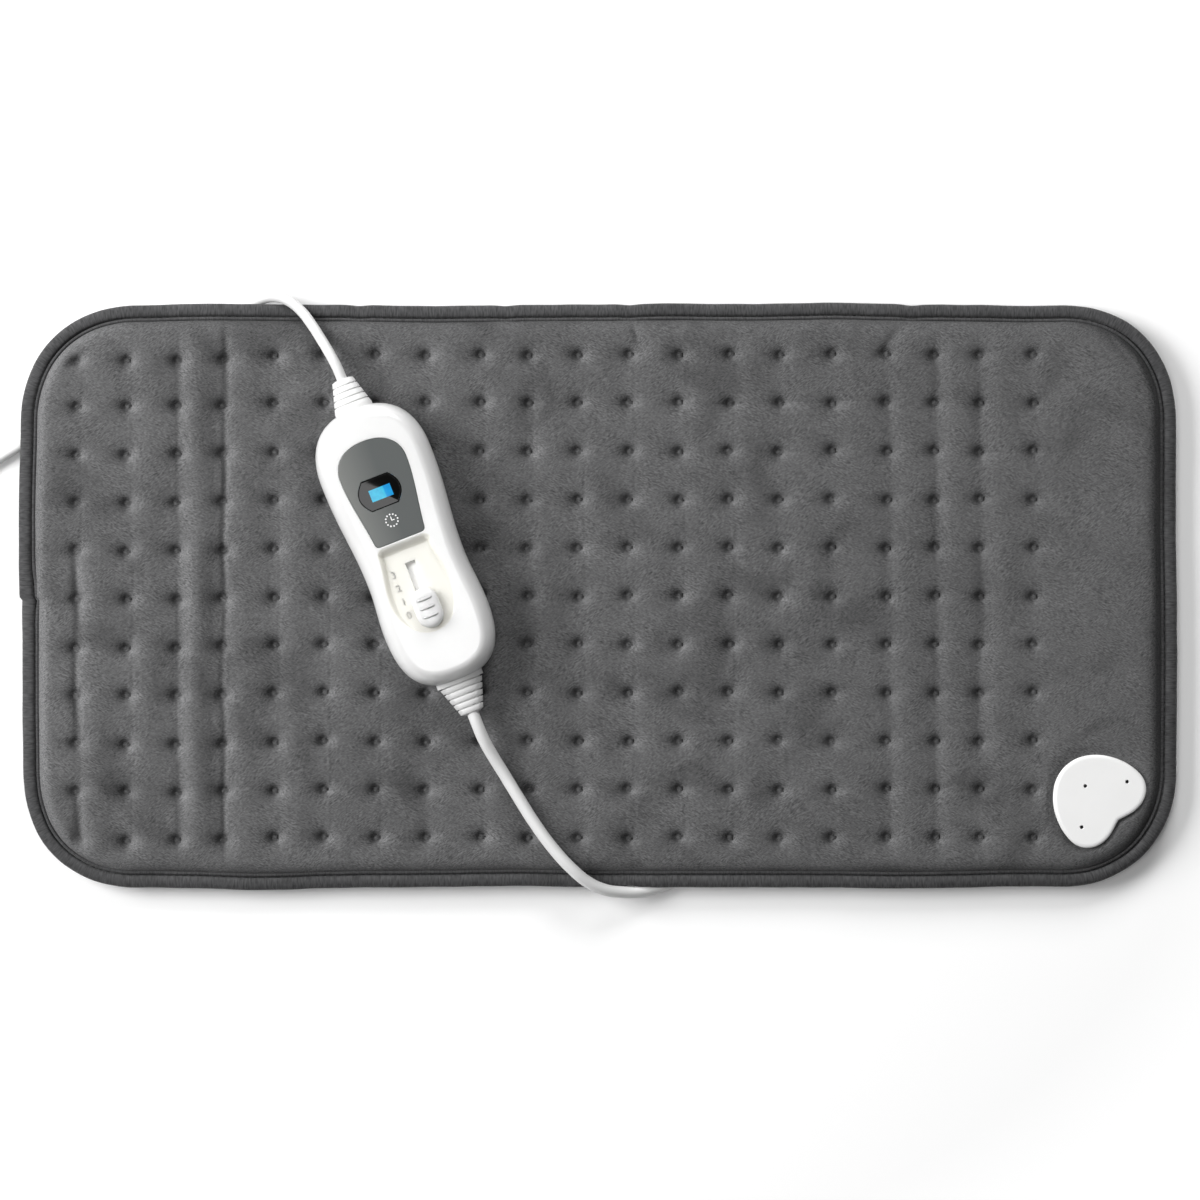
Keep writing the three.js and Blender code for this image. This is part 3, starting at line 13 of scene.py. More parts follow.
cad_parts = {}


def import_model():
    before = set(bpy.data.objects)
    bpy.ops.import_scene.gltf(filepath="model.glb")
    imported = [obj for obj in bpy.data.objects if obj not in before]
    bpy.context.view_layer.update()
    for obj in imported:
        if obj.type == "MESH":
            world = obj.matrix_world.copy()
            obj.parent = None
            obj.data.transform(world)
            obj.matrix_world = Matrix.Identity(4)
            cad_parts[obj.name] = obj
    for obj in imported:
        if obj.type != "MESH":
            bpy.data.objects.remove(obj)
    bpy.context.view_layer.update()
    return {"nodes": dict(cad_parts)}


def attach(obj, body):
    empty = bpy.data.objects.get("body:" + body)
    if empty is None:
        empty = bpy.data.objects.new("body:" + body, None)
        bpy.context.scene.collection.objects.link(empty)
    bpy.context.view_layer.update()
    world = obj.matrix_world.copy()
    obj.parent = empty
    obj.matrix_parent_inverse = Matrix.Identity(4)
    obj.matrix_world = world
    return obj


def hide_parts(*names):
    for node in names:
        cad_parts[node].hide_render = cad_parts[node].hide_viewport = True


MM = 0.001
WELD = 1e-6  # in metres; closer points become one
UP = np.array([0, 0, 1.0])

# Pad, as in the part's source
PAD_LENGTH = 600.0
PAD_WIDTH = 302.0
PAD_CORNER = 60.0
CREST = 15.0
PLATE_BED = 13.2
TUFT_FIRST = (-269.0, -125.0)
TUFT_PITCH = (26.0, 25.0)
TUFT_COUNT = (20, 11)

# Pad, finer than in the part's source
RIM_INSET = 8.1  # where the cover goes under the hem
RIM_TOP = 8.6
RIM_BOTTOM = 6.4
RIM_FADE = 9.0  # from the rim in to the full quilting
CROWN_REACH = 2.8  # how soon the cover rises from its rim
UNDER_REACH = 3.4  # how soon its underside comes down from there
UNDER_LEVEL = 0.1  # least height of the underside
CORD_ROOM = 1.3  # between a cord and the hollow that it lies in
HOUSING_ROOM = 7.4  # height of the hollow for the terminal housing
HOUSING_INSET = 2.2  # of that hollow, from the plate's outline
HOUSING_OUT = 2.0  # where its slope starts, and how wide that is
HOUSING_SLOPE = 2.4
PILE_GAP = 0.4  # from the plate's edge to where the pile rises again, and how wide its slope is
PILE_SLOPE = 5.5
UNDER_PINCH = (1.4, 2.1)  # height and reach of the pinch below a tuft, and of the dent round it
UNDER_BROAD = (0.7, 4.0)
GRID_STEP = 2.2  # between the cover's lines beyond the tufts
RIM_LINES = np.array([0, 0.8, 1.7, 2.7, 4.0, 5.6, 7.6, 10.0])  # in from the rim
PAINTED_LIGHT_WAY = (-0.96, -0.28, 0.0)  # the way the painted light comes from: slopes that face it are painted lighter, those that face away darker

# Tufts
TUFT_OFF = -0.8  # the sewn discs lie a little left of the columns
ROW_SAG = 1.6  # and at the left end a little below the rows
TOP_ROW_SAG = 1.8  # times as much in the top row
TOP_ROW_Y = 110.0
SAG_FROM = -150.0
SAG_OVER = 60.0
TUFT_STRAY = 0.5
TUFT_PULL = (0.9, 1.12)
PULL_AT_LEFT = 1.15
PULL_FADE = 0.75
PULL_AT_TURNS = 0.7
# Columns that are sewn off their place
TUFT_DRIFT = {3: -2.0, 4: -1.5, 5: -1.6, 6: -1.2, 7: -0.8, 8: 1.2, 15: 1.2, 16: 3.7, 17: 2.6, 19: 1.4}
TUFT_NEAR = np.array([0, 0.07, 0.123, 0.17, 0.23, 0.32, 0.46, 0.65])  # shares of half a gap between tufts
TUFT_DISC = 1.7  # flat place in the middle of a tuft
TUFT_STEEP = (2.0, 1.7)  # depth and reach of the pinch at the disc
TUFT_BROAD = (2.2, 5.2)  # depth and reach of the hollow round it
TUFT_LEAN = 0.38  # the hollow reaches further to the left
TUFT_OVAL = (1.12, 0.9)
TUFT_RING = 0.5  # depth of the fold round the disc
RING_LEAN = 0.8
RING_OUT = 0.3
RING_WIDE = 0.55
TUFT_END = 24.0  # no tuft is felt beyond
UNDER_TUFT_END = 16.0
DEEPEST = 5.3  # the heater lies below
DEEPEST_AT_TURNS = 4.4  # where its wire turns, at the left
TURNS_X = -256.0

# Folds along columns of tufts: depth and width of the line, height of the ridge to its right, where it runs
CREASED_COLUMNS = {
    0: (1.6, 2.4, 0.8, -145, 30), 1: (0.2, 3.0, 0.3, -145, 145), 2: (0.6, 3.0, 2.0, -135, 150),
    3: (1.2, 1.8, 0.5, -145, 150), 4: (0.2, 4.0, 0.5, -145, 60), 9: (0.4, 4.0, 0.3, -60, 145),
    16: (0.5, 4.0, 0.3, -145, 145), 17: (0.7, 4.0, 0.2, -145, 145), 18: (1.0, 4.5, 0.2, -100, 145),
}
RIDGE_AT = 9.5  # right of its fold
RIDGE_WIDE = 6.0
FOLD_FADE = 25.0  # at the ends of a fold
# Single creases and puckers that start at the hem: from, to, depth
CREASES = [
    ((61, 99), (150, 101), 1.0), ((222, 144), (214, 132), 1.2), ((199, 74), (224, 74.5), 0.8),
    ((16, 146), (26, 117), 1.5), ((162, 146), (142, 120), 1.7), ((259, 142), (276, 120), 1.7),
    ((-124, 146), (-120, 134), 1.0), ((-48, 146), (-46, 136), 0.9), ((275, 125), (287, 98), 0.8),
]
CREASE_REACH = 1.3
# The edge isn't quite straight: place on the outline, and how far in the edge lies there
EDGE_WANDER = [
    (-245, 151, 0.7), (-205, 151, -0.6), (-85, 151, 0.7), (40, 151, -0.6), (120, 151, -1.0), (232, 151, 0.7),
    (283, 133, -1.9), (297, 108, 1.0), (300, 40, 0.7), (300, -100, 0.5), (285, -133, -0.8), (225, -151, 0.5),
    (160, -151, -0.6), (-45, -151, 0.7), (-175, -151, -1.4), (-283, -133, -0.9), (-297, -108, 0.8),
    (-300, 40, -0.4), (-298, 100, 0.9), (-284, 134, -0.7),
]
WANDER_REACH = 32.0
EDGE_FADE = 8.0  # how far in the cover moves with its edge

# Hem
HEM_JOIN_Y = -0.5
HEM_STEP = 1.5  # at the left the hem's lower part lies further in
HEM_STEP_X = -240.0
HEM_STEP_LOW = -128.0
HEM_STEP_FADE = 30.0
HEM_LAP = 45.0  # length of the lap above the join
LAP_LIFT = 0.5
HEM_KINK = 2.0  # how far the inner edge goes in at the join
HEM_KINK_AT = 3.0  # above the join
HEM_KINK_REACH = 9.0
SWAY_OUTSIDE = 0.675  # share of the sway at the outer side, and what the inner side has less
SWAY_LOSS = 0.325
HEM_SPREAD = 1.21
HEM_DEPTH = 7.3
HEM_SPACING = 1.5
HEM_CLEARANCE = 0.35  # from the cords
# Section: in from the outline, height; it goes under the edge, over the top and back inside
HEM_SECTION = [
    (7.2, 6.6), (7.2, 5.3), (6.2, 4.9), (4.0, 4.6), (2.0, 4.9), (0.7, 5.9), (0.15, 7.0), (0.0, 7.9),
    (0.25, 8.9), (0.9, 9.8), (2.0, 10.4), (3.3, 10.6), (4.5, 10.45), (5.0, 9.9), (5.25, 8.6), (5.6, 8.4),
    (5.8, 9.4), (6.1, 10.25), (6.5, 10.4), (6.9, 10.2), (7.15, 9.6), (7.2, 8.9), (6.9, 8.2),
]
HEM_PUCKERS = [(16, 151), (162, 151), (259, 141), (-124, 151), (-48, 151), (275, 132)]
STITCH_INSET = 5.35
STITCH_LEVEL = 8.6
STITCH_LENGTH = 2.7
STITCH_PITCH = 4.0
STITCH_BOW = 0.28
STITCH_SINK = 0.1  # of its ends
THREAD_TIP = 0.12  # radius at a stitch's ends, and what is added towards its middle
THREAD_SWELL = 0.2

# Terminal plate
PLATE_AT = (259.0, -106.0)
PLATE_TURN = -math.pi / 4
PLATE_APEX = -25.1  # its end, its lobes and the notch between them, along its axis
PLATE_LOBE = 16.8
PLATE_NOTCH = 14.2
PLATE_HALF = 25.0  # half its width
PLATE_NEAR = 45.0  # nothing is changed by the plate further from its middle
PLATE_BASE = 13.5
PLATE_TOP = 15.7
PLATE_HOLES = ((-10.5, 0.4), (3.2, 17.2), (3.2, -16.0))
PLATE_HOLE_RADIUS = 0.9
# In from the plate's outline, or out from a hole's, and down from the top
PLATE_EDGE = [(0.5, 2.3), (0.1, 2.0), (0.0, 1.4), (0.12, 0.8), (0.5, 0.35), (1.1, 0.1), (2.0, 0.0)]
PLATE_HOLE_EDGE = [(0.25, 0.0), (0.05, 0.2), (0.0, 0.5), (0.0, PLATE_TOP - PLATE_BASE)]

# Controller
CASE_AT = (-98.7, 26.6, 15.3)
CASE_TURN = math.radians(21.4)
CASE_HEIGHT = 24.0
CASE_PARTING = 9.5
CASE_WALL = 2.4
PARTING_GAP = 0.15  # from the parting plane to each shell's edge
SHELL_LIP = [(CASE_WALL, 3), (CASE_WALL, 0), (0.4, 0), (0.08, 0.12), (0, 0.5)]  # inset, away from the edge
TOP_ROUND = 7.8  # tighter than in the part's source: the recess with its soft edge lies on the flat top
BOTTOM_ROUND = 6.0
HEAD_END = 75.3
TAIL_END = -75.3
SCREWS = ((20.8, 50), (-20.8, 50), (17, -58), (-17, -58))
SCREW_WELL = [(3.1, 0), (2.9, 0.2), (2.9, 3.3)]  # radius, height

# Display, with edges as steps out from or in from an outline, and down from the case's top
FACE_X = -1.4  # middle of the display and the slider, from the case's middle
FASCIA_LOW = 3.1
FASCIA_HIGH = 57.0
FASCIA_HALF = 18.1
FASCIA_FOOT = 13.4
FASCIA_EDGE = [(0, 1.0), (0, 0.25), (0.08, 0.07), (0.25, 0)]
FASCIA_SEAT = [(0.3, 0), (0.15, 0.15), (0.15, 1.3)]
WINDOW_AT = (FACE_X - 1.3, 29.7)
WINDOW_SIZE = (22.8, 16.4)
WINDOW_BULGE = 4.2
WINDOW_GAP = 0.08
WINDOW_RIM = 0.75
WINDOW_EDGE = [(0, 0.8), (0, 0.04), (0.06, 0), (WINDOW_RIM, 0.01)]
WINDOW_DOME = 0.5
DOME_BASE = 0.13  # below the case's top
DISPLAY_AT = (FACE_X - 0.8, 29.1)
DISPLAY_SIZE = (11.6, 6.2)
DISPLAY_STEP = 0.17  # where its two fields meet
DISPLAY_BLEND = 0.3
DISPLAY_LIFT = 0.03  # above the glass
CLOCK_AT = (FACE_X - 0.8, 14.0)
CLOCK_RADIUS = 3.15
CLOCK_DOT = 0.44
CLOCK_HAND = 0.24  # half its width
CLOCK_REACH = (2.0, 1.5)  # of the upright hand and the other
PRINT_LIFT = 0.02

# Recess and slider; places of the slider are along the recess
RECESS_LOW = -46.8
RECESS_RUN = 47.7
RECESS_DEPTH = 3.0
RECESS_NARROW = 13.2  # half its width at the fascia, and where it is widest
RECESS_WIDE = 16.2
RECESS_CORNER = 2.4
RECESS_FLOOR = 2.0  # thickness of its floor
RECESS_LEAN = 2.0  # of the wall at its deep end
RECESS_TILT = math.atan2(RECESS_DEPTH, RECESS_RUN)
# Out from the recess's outline, and share of its depth
RECESS_EDGE = [(1.4, 0.0), (0.9, 0.04), (0.4, 0.18), (0.0, 0.42), (-0.4, 0.7), (-0.8, 0.9), (-1.4, 1.0)]
KNOB_Y = 12.2
KNOB_LENGTH = 21.0
KNOB_WIDTH = 14.0
KNOB_HEIGHT = 4.6
# In from the knob's outline, and height
KNOB_PROFILE = [(0.3, 0.3), (0.0, 0.6), (0.0, 2.0), (0.12, 2.7), (0.5, 3.4), (1.2, 3.95), (2.2, 4.3),
                (3.6, 4.5), (5.2, KNOB_HEIGHT), (6.9, KNOB_HEIGHT)]
GRIP_HALF = 4.3  # half the length of a finger ridge
GRIP_PITCH = 4.6
GRIP_WIDE = 0.85
GRIP_HIGH = 1.0
GRIP_SINK = 0.35
GRIP_BEND = 0.012  # down towards its ends
STEM_SIZE = (2.2, 3.0)  # half its width and half its length
STEM_TOP = 1.0
STEM_DROP = 1.6  # below the recess's floor
TRAVEL = 22.0
SLOT_WIDTH = 5.2
SLOT_PAST = 3.6  # beyond the knob's middle at both limits
SLOT_LOW = KNOB_Y - SLOT_PAST
SLOT_HIGH = KNOB_Y + TRAVEL + SLOT_PAST
NUMBER_SIZE = 5.2
NUMBER_RELIEF = 0.1
NUMBER_ROUND = 0.05
NUMBER_X = -10.4
NUMBER_LOW = 12.1  # beside the knob at rest
NUMBER_PITCH = TRAVEL / 3

# Boots: half widths at both ends, height as a share of width, ribs and the slits between them, a collar
MAINS_BOOT = {"root": 10.2, "tip": 5.5, "flat": 0.72, "length": 16.0,
              "ribs": 5, "slit": 0.6, "depth": 0.7, "collar": 0}
PAD_BOOT = {"root": 12.6, "tip": 5.9, "flat": 0.6, "length": 18.0,
            "ribs": 5, "slit": 0.75, "depth": 1.1, "collar": 1.6}
PLUG_BOOT = {"root": 6.0, "tip": 4.0, "flat": 0.95, "length": 24.0,
             "ribs": 6, "slit": 1.2, "depth": 0.8, "collar": 0}
COLLAR_STEP = 1.1  # from a collar in to the first rib
BOOT_SOFT = 0.12  # rounding of the ribs
SLIT_STEEP = 0.03
BOOT_INWARD = 5.0  # into the case
PLUG_BOOT_OFF = 0.3  # from the plug's end
BOOT_MOUTH = 0.7  # share of its tip, where the cord leaves

# Cords
MAINS_DIAMETER = 5.4
PAD_LEAD_DIAMETER = 6.2
CORD_IN_BOOT = 1.0  # how far a cord starts inside its boot
CORD_IN_PLUG_BOOT = 0.7
CORD_STRAIGHT = 6.7  # before the plug's boot
MAINS_ROUTE = [
    (-134.5, 117.4, 24.7), (-138.3, 124.6, 23.2), (-142.9, 132.2, 20.2), (-148.3, 140.5, 16.7),
    (-154.0, 147.7, 13.7), (-160.2, 152.6, 11.3), (-166.7, 154.8, 8.6), (-173.1, 154.2, 6.1),
    (-179.8, 151.2, 4.1), (-190.0, 145.4, 3.0), (-203.0, 137.4, 2.8), (-222.0, 125.8, 2.8),
    (-248.0, 109.9, 2.8), (-274.0, 94.0, 2.8), (-300.0, 78.1, 2.8), (-320.0, 65.9, 2.8), (-341.0, 53.0, 3.2),
]
PAD_LEAD_ROUTE = [
    (-62.6, -65.6, 24.6), (-59.5, -73.2, 23.4), (-55.0, -81.6, 20.9), (-49.0, -91.4, 18.9),
    (-41.4, -103.9, 18.5), (-33.0, -117.2, 18.5), (-23.3, -130.4, 18.8), (-13.4, -141.2, 18.2),
    (-5.2, -148.0, 15.8), (3.2, -151.9, 12.8), (12.0, -153.4, 9.3), (21.0, -153.3, 6.4),
    (30.5, -151.4, 4.3), (42.0, -147.9, 3.4), (60.0, -143.6, 3.3), (92.0, -139.6, 3.3),
    (126.0, -136.0, 3.3), (158.0, -130.6, 3.3), (184.0, -124.0, 3.3), (200.0, -119.5, 3.3),
]
PLUG_TAIL_ROUTE = [(-354.5, 41.2, 9.8), (-362.5, 30.7, 9.1), (-370.0, 21.2, 8.0), (-375.3, 13.5, 7.2)]
COIL_AT = (-381.0, 77.7)
COIL_INNER = 17.8
COIL_PITCH = 5.9
COIL_START = math.radians(301.5)
COIL_TURNS = 7.92
COIL_CLIMB = 0.25
COIL_LOW = 4.3
COIL_STEPS = 24
TIE_THICKNESS = 1.0
TIE_WIDTH = 7.0
TIE_SLACK = 0.3
TIE_ANGLE = math.radians(150)
TIE_LIFT = 1.1  # of the lapped end, in thicknesses
TIE_START = -4.0  # the strap's start and its lapped end, from the middle of its upper run
TIE_END = 7.0
PLUG_AT = (-377.0, -27.3, 6.95)
GLAND_TIP = (214.25, -116.7, 3.3)
GLAND_TURN = 0.235
GLAND_LENGTH = 24.0
GLAND_RADIUS = 6.4
GLAND_STRAIGHT = 6.0  # of the cord before the gland
GLAND_INWARD = 1.0  # of the cord inside it

# Carried-over CAD nodes: their finishes and bevels
CAD_FINISHES = {
    "white": ["terminal_housing", "lcd_backlight", "plug_body"],
    "cord": ["pad_lead_gland"],
    "fleece": ["heater_carrier"],
    "sheath": ["heater_wire"],
    "green": ["control_board"],
    "display": ["lcd_panel"],
    "brass": ["fuse"],
    "shield": ["slider_shield"],
    "dark_steel": ["terminal_rivet_1", "terminal_rivet_2", "terminal_rivet_3"],
    "steel": ["plug_pin_1", "plug_pin_2", "case_screw_1", "case_screw_2", "case_screw_3", "case_screw_4"],
    "dark": ["thermal_cutout", "junction_block", "display_holder", "triac", "capacitor", "mains_terminal",
             "pad_terminal", "slide_switch", "switch_lever"],
}
CAD_BEVELS = {"plug_body": 1.6, "plug_pin_1": 0.5, "plug_pin_2": 0.5,
              "terminal_housing": 0.5, "slider_shield": 0.2, "pad_lead_gland": 0.6}

# Camera: the photograph is taken from straight above
CAMERA_AT = (0.9, -2.1)
CAMERA_HEIGHT = 3000.0
VIEW_HALF = 311.0
VIEW_LEVEL = 7.5
SENSOR = 36.0

# Stage
FLOOR_HALF = 6000.0
FLOOR_GLOW = ((0.34, 0.05), (0.66, 0.55))  # metres from the pad's middle, and glow there
WORLD_LIGHT = 0.13
# Lights: place and target in metres, size and power
LIGHTS = {
    "key": ((-2.1, 0.6, 1.35), (-0.05, 0, 0), 1.4, 82.0),
    "far_side": ((0.4, 2.3, 1.3), (0.1, 0, 0), 1.1, 42.0),
    "panel": ((-0.359, -0.112, 2.04), (-0.359, -0.112, 0), 0.6, 6.4),
}
PANEL_TURN = math.radians(49.5)  # its edge is mirrored in the window


# Drawing

def bezier(a, b, c, d, steps):
    """Points of a cubic curve after its start, up to its end."""
    t = np.linspace(0, 1, steps + 1)[1:, None]
    a, b, c, d = (np.asarray(p, float) for p in (a, b, c, d))
    return (1 - t) ** 3 * a + 3 * t * (1 - t) ** 2 * b + 3 * t * t * (1 - t) * c + t ** 3 * d


def even_outline(start, curves, mirror, steps):
    """A closed outline from curves along one side, mirrored for the other side."""
    points = [np.asarray(start, float)[None]]
    at = start
    for pull_a, pull_b, end in curves:
        points.append(bezier(at, pull_a, pull_b, end, steps))
        at = end
    side = np.concatenate(points)
    other = side[::-1] * mirror
    outline = np.concatenate([side, other])
    gaps = np.linalg.norm(outline - np.roll(outline, 1, axis=0), axis=1)
    outline = outline[gaps > 1e-6]
    return outline if signed_area(outline) > 0 else outline[::-1]


def signed_area(points):
    """Area inside a closed outline, positive if it runs anticlockwise."""
    x, y = points[:, 0], points[:, 1]
    return 0.5 * np.sum(x * np.roll(y, -1) - y * np.roll(x, -1))


def drawn_in(outline, distance):
    """The outline moved inwards by a distance, along the bisector at each point."""
    before = np.roll(outline, 1, axis=0)
    after = np.roll(outline, -1, axis=0)
    along = after - before
    along /= np.linalg.norm(along, axis=1)[:, None]
    inward = np.stack([-along[:, 1], along[:, 0]], axis=1)
    return outline + inward * distance


def inside(outline, points):
    """Which points lie inside a closed outline."""
    result = np.zeros(len(points), bool)
    x, y = points[:, 0], points[:, 1]
    for (ax, ay), (bx, by) in zip(outline, np.roll(outline, -1, axis=0)):
        if ay == by:
            continue
        crossing = (ay > y) != (by > y)
        result ^= crossing & (x < (bx - ax) * (y - ay) / (by - ay) + ax)
    return result


def distance_to_line(points, line, closed=False):
    """Distance from each point to a line of points, and the share of the line where it is nearest."""
    line = np.asarray(line, float)
    ends = np.roll(line, -1, axis=0) if closed else line[1:]
    starts = line if closed else line[:-1]
    best = np.full(len(points), np.inf)
    where = np.zeros(len(points))
    for i, (a, b) in enumerate(zip(starts, ends)):
        way = b - a
        share = np.clip(((points - a) @ way) / max(way @ way, 1e-12), 0, 1)
        distance = np.linalg.norm(points - a - share[:, None] * way, axis=1)
        nearer = distance < best
        best[nearer] = distance[nearer]
        where[nearer] = (i + share[nearer]) / len(starts)
    return best, where


def flat_cap(outline, holes):
    """Triangles that fill an outline and leave its holes open, as points and corner lists."""
    loops = [outline, *holes]
    points, edges = [], []
    for loop in loops:
        first = len(points)
        points += [Vector(p) for p in loop]
        edges += [(first + i, first + (i + 1) % len(loop)) for i in range(len(loop))]
    found, _, triangles, _, _, _ = delaunay_2d_cdt(points, edges, [], 1, 1e-6)
    corners = np.array([[p.x, p.y] for p in found])
    middles = np.array([corners[list(t)].mean(axis=0) for t in triangles])
    keep = inside(outline, middles)
    for hole in holes:
        keep &= ~inside(hole, middles)
    return corners, [tuple(t) for t, k in zip(triangles, keep) if k]


class Form:
    """Points and faces of a piece that is put together from rings and caps."""

    def __init__(self):
        self.points = []
        self.faces = []
        self.finish = []  # material number of each face
        self.flat = []  # whether a face keeps its own normal

    def add(self, points, faces, finish=0, flat=False):
        """Adds points, and faces whose corners are counted from the first of these points."""
        first = len(self.points)
        self.points += [tuple(map(float, p)) for p in points]
        self.faces += [tuple(first + i for i in face) for face in faces]
        self.finish += [finish] * len(faces)
        self.flat += [flat] * len(faces)

    def rings(self, rings, closed=False, cap_first=False, cap_last=False, finish=0):
        """Skins rings of equal count; the ends may be capped."""
        count = len(rings[0])
        points = np.concatenate([np.asarray(r, float) for r in rings])
        faces = []
        spans = len(rings) if closed else len(rings) - 1
        for r in range(spans):
            here, there = r * count, ((r + 1) % len(rings)) * count
            for i in range(count):
                j = (i + 1) % count
                faces.append((here + i, here + j, there + j, there + i))
        if cap_first:
            faces.append(tuple(range(count))[::-1])
        if cap_last:
            faces.append(tuple((len(rings) - 1) * count + i for i in range(count)))
        self.add(points, faces, finish)

    def cap(self, outline, z, holes=(), finish=0):
        """A flat face at a height, or on a tilted plane if z is a function of the points."""
        flat, triangles = flat_cap(outline, holes)
        heights = z(flat) if callable(z) else np.full(len(flat), float(z))
        self.add(np.column_stack([flat, heights]), triangles, finish, flat=True)

    def moved(self, change):
        """Moves all points by a function."""
        self.points = [tuple(p) for p in change(np.array(self.points))]


def at_height(outline, z):
    """A flat outline as points at one height."""
    return np.column_stack([outline, np.full(len(outline), float(z))])


def circle(radius, sides, x, y):
    """Points round a circle."""
    angle = np.linspace(0, 2 * math.pi, sides, endpoint=False)
    return np.column_stack([x + radius * np.cos(angle), y + radius * np.sin(angle)])


def rectangle(half, low, high):
    """Corners of a rectangle about the middle line."""
    return np.array([(-half, low), (half, low), (half, high), (-half, high)])


def grid_quads(rows, columns):
    """Point numbers of a grid, and the corners of its faces."""
    index = np.arange(rows * columns).reshape(rows, columns)
    quads = np.stack([index[:-1, :-1], index[:-1, 1:], index[1:, 1:], index[1:, :-1]], axis=-1)
    return index, quads.reshape(-1, 4)


def run_lengths(line):
    """How far along a line of points each point lies."""
    steps = np.linalg.norm(np.diff(line, axis=0), axis=1)
    return np.concatenate([[0], np.cumsum(steps)])


def eased(t):
    """A share from 0 to 1 with a soft start and a soft end."""
    t = np.clip(t, 0, 1)
    return t * t * (3 - 2 * t)


def turned(points, turn, at):
    """Points turned about the upright axis, and then moved."""
    points = np.asarray(points, float)
    c, s = math.cos(turn), math.sin(turn)
    x = points[:, 0] * c - points[:, 1] * s + at[0]
    y = points[:, 0] * s + points[:, 1] * c + at[1]
    return np.column_stack([x, y, points[:, 2] + at[2]])


def on_case(points):
    """Case coordinates to the frame."""
    return turned(points, CASE_TURN, CASE_AT)


def on_plate(points):
    """Plate coordinates to the frame; the heights are the same in both."""
    return turned(points, PLATE_TURN, (*PLATE_AT, 0))


def on_recess(points):
    """Coordinates on the recess floor to the frame."""
    points = np.asarray(points, float)
    c, s = math.cos(RECESS_TILT), math.sin(RECESS_TILT)
    y = RECESS_LOW + points[:, 1] * c + points[:, 2] * s
    z = CASE_HEIGHT - points[:, 1] * s + points[:, 2] * c
    return on_case(np.column_stack([points[:, 0] + FACE_X, y, z]))


def placed(name, data):
    """A new object in the scene."""
    item = bpy.data.objects.new(name, data)
    bpy.context.scene.collection.objects.link(item)
    return item


def make_piece(name, form, finishes, body="root", stands_for=(), smooth=True, traits=None):
    """A mesh piece that rides on a body of the frame; traits are values per point for its material."""
    mesh = bpy.data.meshes.new(name)
    mesh.from_pydata((np.array(form.points) * MM).tolist(), [], form.faces)
    finishes = finishes if isinstance(finishes, (list, tuple)) else [finishes]
    for finish in finishes:
        mesh.materials.append(finish)
    mesh.polygons.foreach_set("material_index", form.finish)
    mesh.attributes.new("level", "BOOLEAN", "FACE").data.foreach_set("value", form.flat)
    for trait, values in (traits or {}).items():
        mesh.attributes.new(trait, "FLOAT", "POINT").data.foreach_set("value", values)
    shaped = bmesh.new()
    shaped.from_mesh(mesh)
    bmesh.ops.remove_doubles(shaped, verts=shaped.verts, dist=WELD)
    bmesh.ops.recalc_face_normals(shaped, faces=shaped.faces)
    shaped.to_mesh(mesh)
    shaped.free()
    if smooth:
        mesh.set_sharp_from_angle(angle=math.radians(38))
        level = np.zeros(len(mesh.polygons), bool)
        mesh.attributes["level"].data.foreach_get("value", level)
        mesh.polygons.foreach_set("use_smooth", ~level)
    piece = placed(name, mesh)
    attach(piece, body)
    if stands_for:
        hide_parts(*stands_for)
    return piece


# Materials

